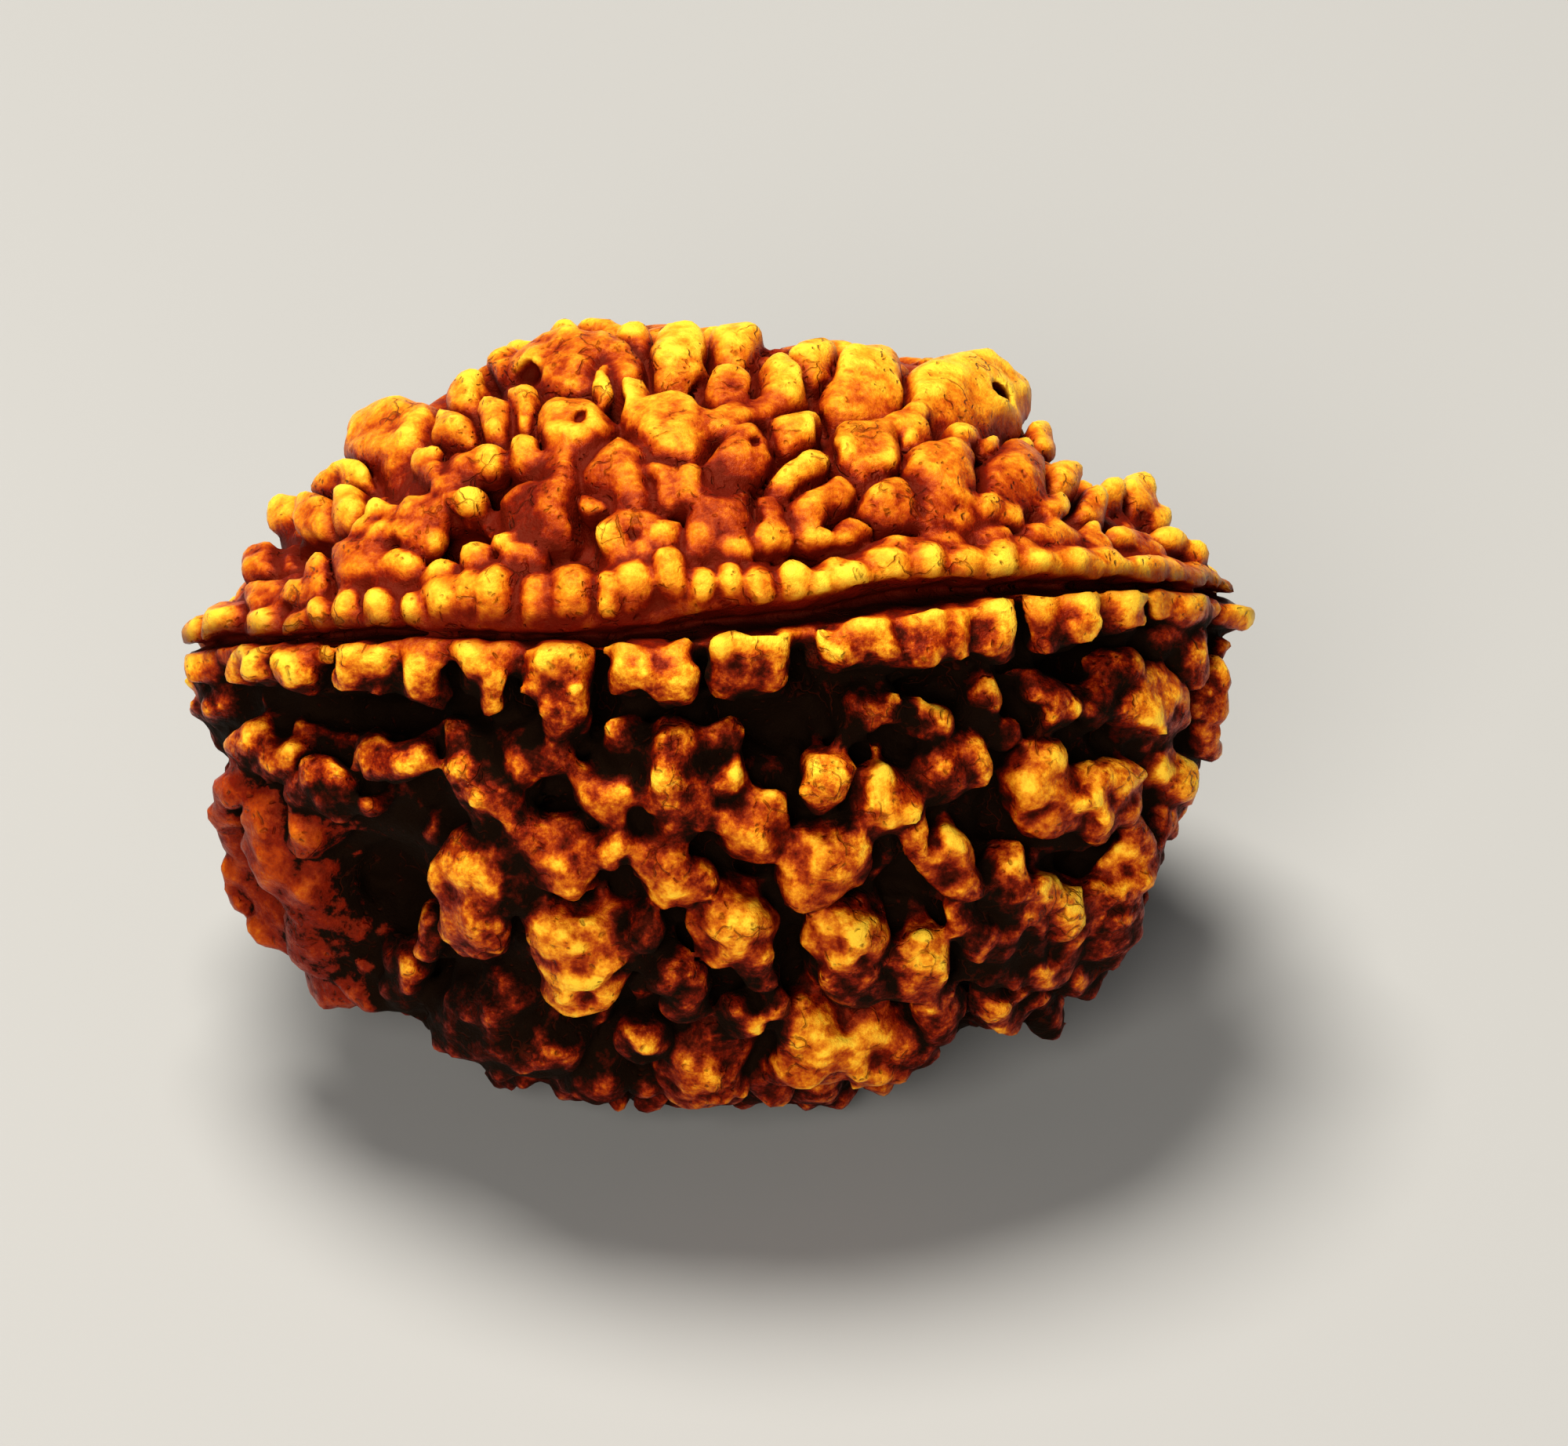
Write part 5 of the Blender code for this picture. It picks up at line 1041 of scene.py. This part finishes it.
def tones(tree, value, stops):
    """A run of colours along a value, from the first stop to the last."""
    lo, hi = stops[0][0], stops[-1][0]
    n = tree.nodes.new("ShaderNodeValToRGB")
    n.color_ramp.interpolation = "LINEAR"
    for i, (at, colour) in enumerate(stops):
        at = (at - lo) / (hi - lo)
        e = n.color_ramp.elements[i] if i < 2 else n.color_ramp.elements.new(at)
        e.position, e.color = at, (*srgb(*colour), 1.0)
    s = tree.nodes.new("ShaderNodeMapRange")
    s.inputs["From Min"].default_value = lo
    s.inputs["From Max"].default_value = hi
    tree.links.new(value, s.inputs["Value"])
    tree.links.new(s.outputs["Result"], n.inputs["Fac"])
    return n.outputs["Color"]


def tex_noise(tree, coord, scale, detail=3.0, rough=0.55, distort=0.0):
    n = tree.nodes.new("ShaderNodeTexNoise")
    n.inputs["Scale"].default_value = scale
    n.inputs["Detail"].default_value = detail
    n.inputs["Roughness"].default_value = rough
    n.inputs["Distortion"].default_value = distort
    tree.links.new(coord, n.inputs["Vector"])
    return n.outputs["Fac"]


def seed_finish_with_painted_light():
    mat = bpy.data.materials.new("oiled_seed_with_painted_light")
    mat.use_nodes = True
    t = mat.node_tree
    shader = t.nodes["Principled BSDF"]
    coord = t.nodes.new("ShaderNodeTexCoord").outputs["Object"]
    s, m, l = attr(t, "hollow_s"), attr(t, "hollow_m"), attr(t, "hollow_l")
    sunk, knob, top = attr(t, "sunk"), attr(t, "knob"), attr(t, "top")
    plate, lower, line, lips = attr(t, "plate"), ramp(t, attr(t, "valve"), 0.2, -1.2), attr(t, "line"), attr(t, "lips")
    rubbed = attr(t, "rubbed")

    blotch = tex_noise(t, coord, 900.0, 4.0, 0.6)
    fine = tex_noise(t, coord, 3600.0, 5.0, 0.7)
    grain = tex_noise(t, coord, 9000.0, 3.0, 0.65)
    mask = tex_noise(t, coord, 520.0, 3.0, 0.6)

    # how far a place is from a tip: 0 on the tips, 1 in the pits; the darker colour towards the pits is partly the
    # seed's own dark crevices and partly painted shade
    low = math_node(t, "MULTIPLY", m, 0.9)
    for value, share in ((s, 0.85), (l, 0.55), (sunk, 0.33)):
        low = math_node(t, "ADD", low, math_node(t, "MULTIPLY", value, share))
    for value, share in ((blotch, 0.9), (fine, 0.9), (grain, 0.45), (knob, 0.25)):
        low = math_node(t, "ADD", low, math_node(t, "MULTIPLY", math_node(t, "SUBTRACT", value, 0.5), share))

    crumbs = tex_noise(t, coord, 2700.0, 4.0, 0.7)
    crumbs = math_node(t, "MULTIPLY", math_node(t, "SUBTRACT", crumbs, 0.5), lower)
    # the lower valve's grain is fainter on the knobs with painted light
    crumbs = math_node(t, "MULTIPLY", crumbs, ramp(t, rubbed, 0.0, 1.0, 1.0, 0.5))
    # painted light on the knobs' upper sides and on listed knobs, painted shade on other listed knobs and over the
    # lower valve; the lips a little darker
    for value, share in ((top, -0.26), (rubbed, -0.36), (lips, 0.14), (lower, 0.38), (crumbs, 1.8)):
        low = math_node(t, "ADD", low, math_node(t, "MULTIPLY", value, share))
    # painted shade: the lower valve goes faster from bright tips to black; the upper one stays red-brown in its
    # creases
    keen = math_node(t, "ADD", math_node(t, "MULTIPLY", lower, 0.35), 1.0)
    low = math_node(t, "ADD", math_node(t, "MULTIPLY", math_node(t, "ADD", low, 0.25), keen), -0.25)
    low = math_node(t, "MINIMUM", low, math_node(t, "ADD", math_node(t, "MULTIPLY", lower, 3.0), 0.16))
    # the plate is one even dark red, apart from its pits: partly its own smooth surface, partly painted shade over the
    # bead's lower left
    even = math_node(t, "MULTIPLY", math_node(t, "SUBTRACT", -0.14, low), math_node(t, "MULTIPLY", plate, 0.62))
    even = math_node(t, "MULTIPLY", even, ramp(t, low, 0.95, 0.45))
    low = math_node(t, "ADD", low, even)
    c = tones(t, low, ((-1.25, (248, 192, 48)), (-0.9, (232, 146, 26)), (-0.62, (196, 98, 11)),
                       (-0.34, (156, 52, 5)), (-0.05, (110, 16, 1)), (0.32, (56, 2, 0)), (0.8, (6, 0, 0))))
    # painted shade: the mukh line's walls take the dark red of a shaded lip underside
    c = mix(t, math_node(t, "MULTIPLY", line, 0.8), c, srgb(92, 10, 2))

    # dark flecks and hair cracks, finer than the mesh
    v = t.nodes.new("ShaderNodeTexVoronoi")
    v.inputs["Scale"].default_value = 3900.0
    fleck = math_node(t, "MULTIPLY", ramp(t, v.outputs["Distance"], 0.30, 0.06), ramp(t, mask, 0.46, 0.56))
    bent = t.nodes.new("ShaderNodeTexNoise")
    bent.inputs["Scale"].default_value = 1500.0
    t.links.new(coord, bent.inputs["Vector"])
    shift = t.nodes.new("ShaderNodeVectorMath")
    shift.operation = "MULTIPLY_ADD"
    shift.inputs[1].default_value = (0.0009, 0.0009, 0.0009)
    t.links.new(bent.outputs["Color"], shift.inputs[0])
    t.links.new(coord, shift.inputs[2])
    t.links.new(shift.outputs[0], v.inputs["Vector"])
    e = t.nodes.new("ShaderNodeTexVoronoi")
    e.feature = "DISTANCE_TO_EDGE"
    e.inputs["Scale"].default_value = 1500.0
    t.links.new(shift.outputs[0], e.inputs["Vector"])
    crack = math_node(t, "MULTIPLY", ramp(t, e.outputs["Distance"], 0.05, 0.01), ramp(t, blotch, 0.53, 0.62))
    fleck = math_node(t, "MAXIMUM", fleck, crack)
    c = mix(t, math_node(t, "MULTIPLY", fleck, 0.45), c, srgb(60, 10, 1))
    t.links.new(c, shader.inputs["Base Color"])

    rough = ramp(t, low, -0.4, 0.7, 0.34, 0.85)
    rough = math_node(t, "ADD", rough, math_node(t, "MULTIPLY", math_node(t, "SUBTRACT", fine, 0.5), 0.25))
    t.links.new(rough, shader.inputs["Roughness"])
    shader.inputs["Specular IOR Level"].default_value = 0.12
    shader.inputs["Specular Tint"].default_value = (1.0, 0.62, 0.28, 1.0)

    bump = t.nodes.new("ShaderNodeBump")
    bump.inputs["Strength"].default_value = 0.8
    bump.inputs["Distance"].default_value = 0.00008
    h = math_node(t, "ADD", math_node(t, "MULTIPLY", fine, 1.0), math_node(t, "MULTIPLY", grain, 0.45))
    h = math_node(t, "SUBTRACT", h, math_node(t, "MULTIPLY", fleck, 1.2))
    t.links.new(h, bump.inputs["Height"])
    t.links.new(bump.outputs["Normal"], shader.inputs["Normal"])
    return mat


def plain(name, colour, rough):
    mat = bpy.data.materials.new(name)
    mat.use_nodes = True
    b = mat.node_tree.nodes["Principled BSDF"]
    b.inputs["Base Color"].default_value = (*colour, 1.0)
    b.inputs["Roughness"].default_value = rough
    b.inputs["Specular IOR Level"].default_value = 0.2
    return mat


def area(name, at, target, size, power, colour=(1, 1, 1)):
    data = bpy.data.lights.new(name, "AREA")
    data.shape, data.size, data.energy, data.color = "DISK", size, power, colour
    ob = bpy.data.objects.new(name, data)
    bpy.context.scene.collection.objects.link(ob)
    ob.location = at
    ob.rotation_mode = "QUATERNION"
    ob.rotation_quaternion = (Vector(target) - Vector(at)).to_track_quat("-Z", "Y")
    return ob


def stage():
    scene = bpy.context.scene
    bm = bmesh.new()
    bmesh.ops.create_grid(bm, x_segments=1, y_segments=1, size=1.2)
    mesh = bpy.data.meshes.new("floor")
    bm.to_mesh(mesh)
    bm.free()
    floor = bpy.data.objects.new("floor", mesh)
    floor.location = (0, 0, -0.00001)
    scene.collection.objects.link(floor)
    mesh.materials.append(plain("pale_floor", (0.34, 0.335, 0.32), 0.75))

    middle = (0.0, 0.0, 0.009)
    area("key", (-0.05, 0.06, 0.30), middle, 0.14, 1.7, (1.0, 0.97, 0.92))
    area("front", (-0.10, -0.28, 0.20), middle, 0.15, 0.85, (1.0, 0.97, 0.93))
    area("low", (0.03, -0.32, 0.07), middle, 0.16, 0.34, (1.0, 0.96, 0.90))

    world = bpy.data.worlds.new("studio")
    world.use_nodes = True
    bg = world.node_tree.nodes["Background"]
    bg.inputs["Color"].default_value = (0.9, 0.93, 1.0, 1.0)
    bg.inputs["Strength"].default_value = 0.09
    scene.world = world
    scene.view_settings.view_transform = "Standard"
    scene.view_settings.look = "None"


def camera():
    """At the drawing's viewpoint: the bead's centre falls on VIEW_POINT of the 2000 x 1844 frame."""
    scene = bpy.context.scene
    right, up, ahead = (v @ WORLD_TO_BEAD for v in (RIGHT, UP, AHEAD))
    centre = np.array(REST_AT)
    mid = centre + right * (1000 - VIEW_POINT[0]) * UNIT - up * (922 - VIEW_POINT[1]) * UNIT
    eye = centre - ahead * VIEW_DISTANCE
    look = (mid - eye) / np.linalg.norm(mid - eye)
    side = np.cross(look, up)
    side /= np.linalg.norm(side)
    top = np.cross(side, look)
    data = bpy.data.cameras.new("camera")
    data.sensor_width = 36.0
    data.lens = 36.0 * np.linalg.norm(mid - eye) / (2000 * UNIT)
    data.clip_start, data.clip_end = 0.01, 10.0
    ob = bpy.data.objects.new("camera", data)
    scene.collection.objects.link(ob)
    ob.matrix_world = Matrix(((side[0], top[0], -look[0], eye[0] * 0.001), (side[1], top[1], -look[1], eye[1] * 0.001),
                              (side[2], top[2], -look[2], eye[2] * 0.001), (0, 0, 0, 1)))
    scene.camera = ob


SEEN = visible_knobs()
KNOBS = SEEN + ridges() + hidden_knobs(SEEN)
CUTS = pits()
camera()
stage()
bead = grow_bead()
bead.data.materials.clear()
bead.data.materials.append(seed_finish_with_painted_light())
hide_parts("rudraksha_bead")
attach(bead, "root")

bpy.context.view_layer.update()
clock("done")
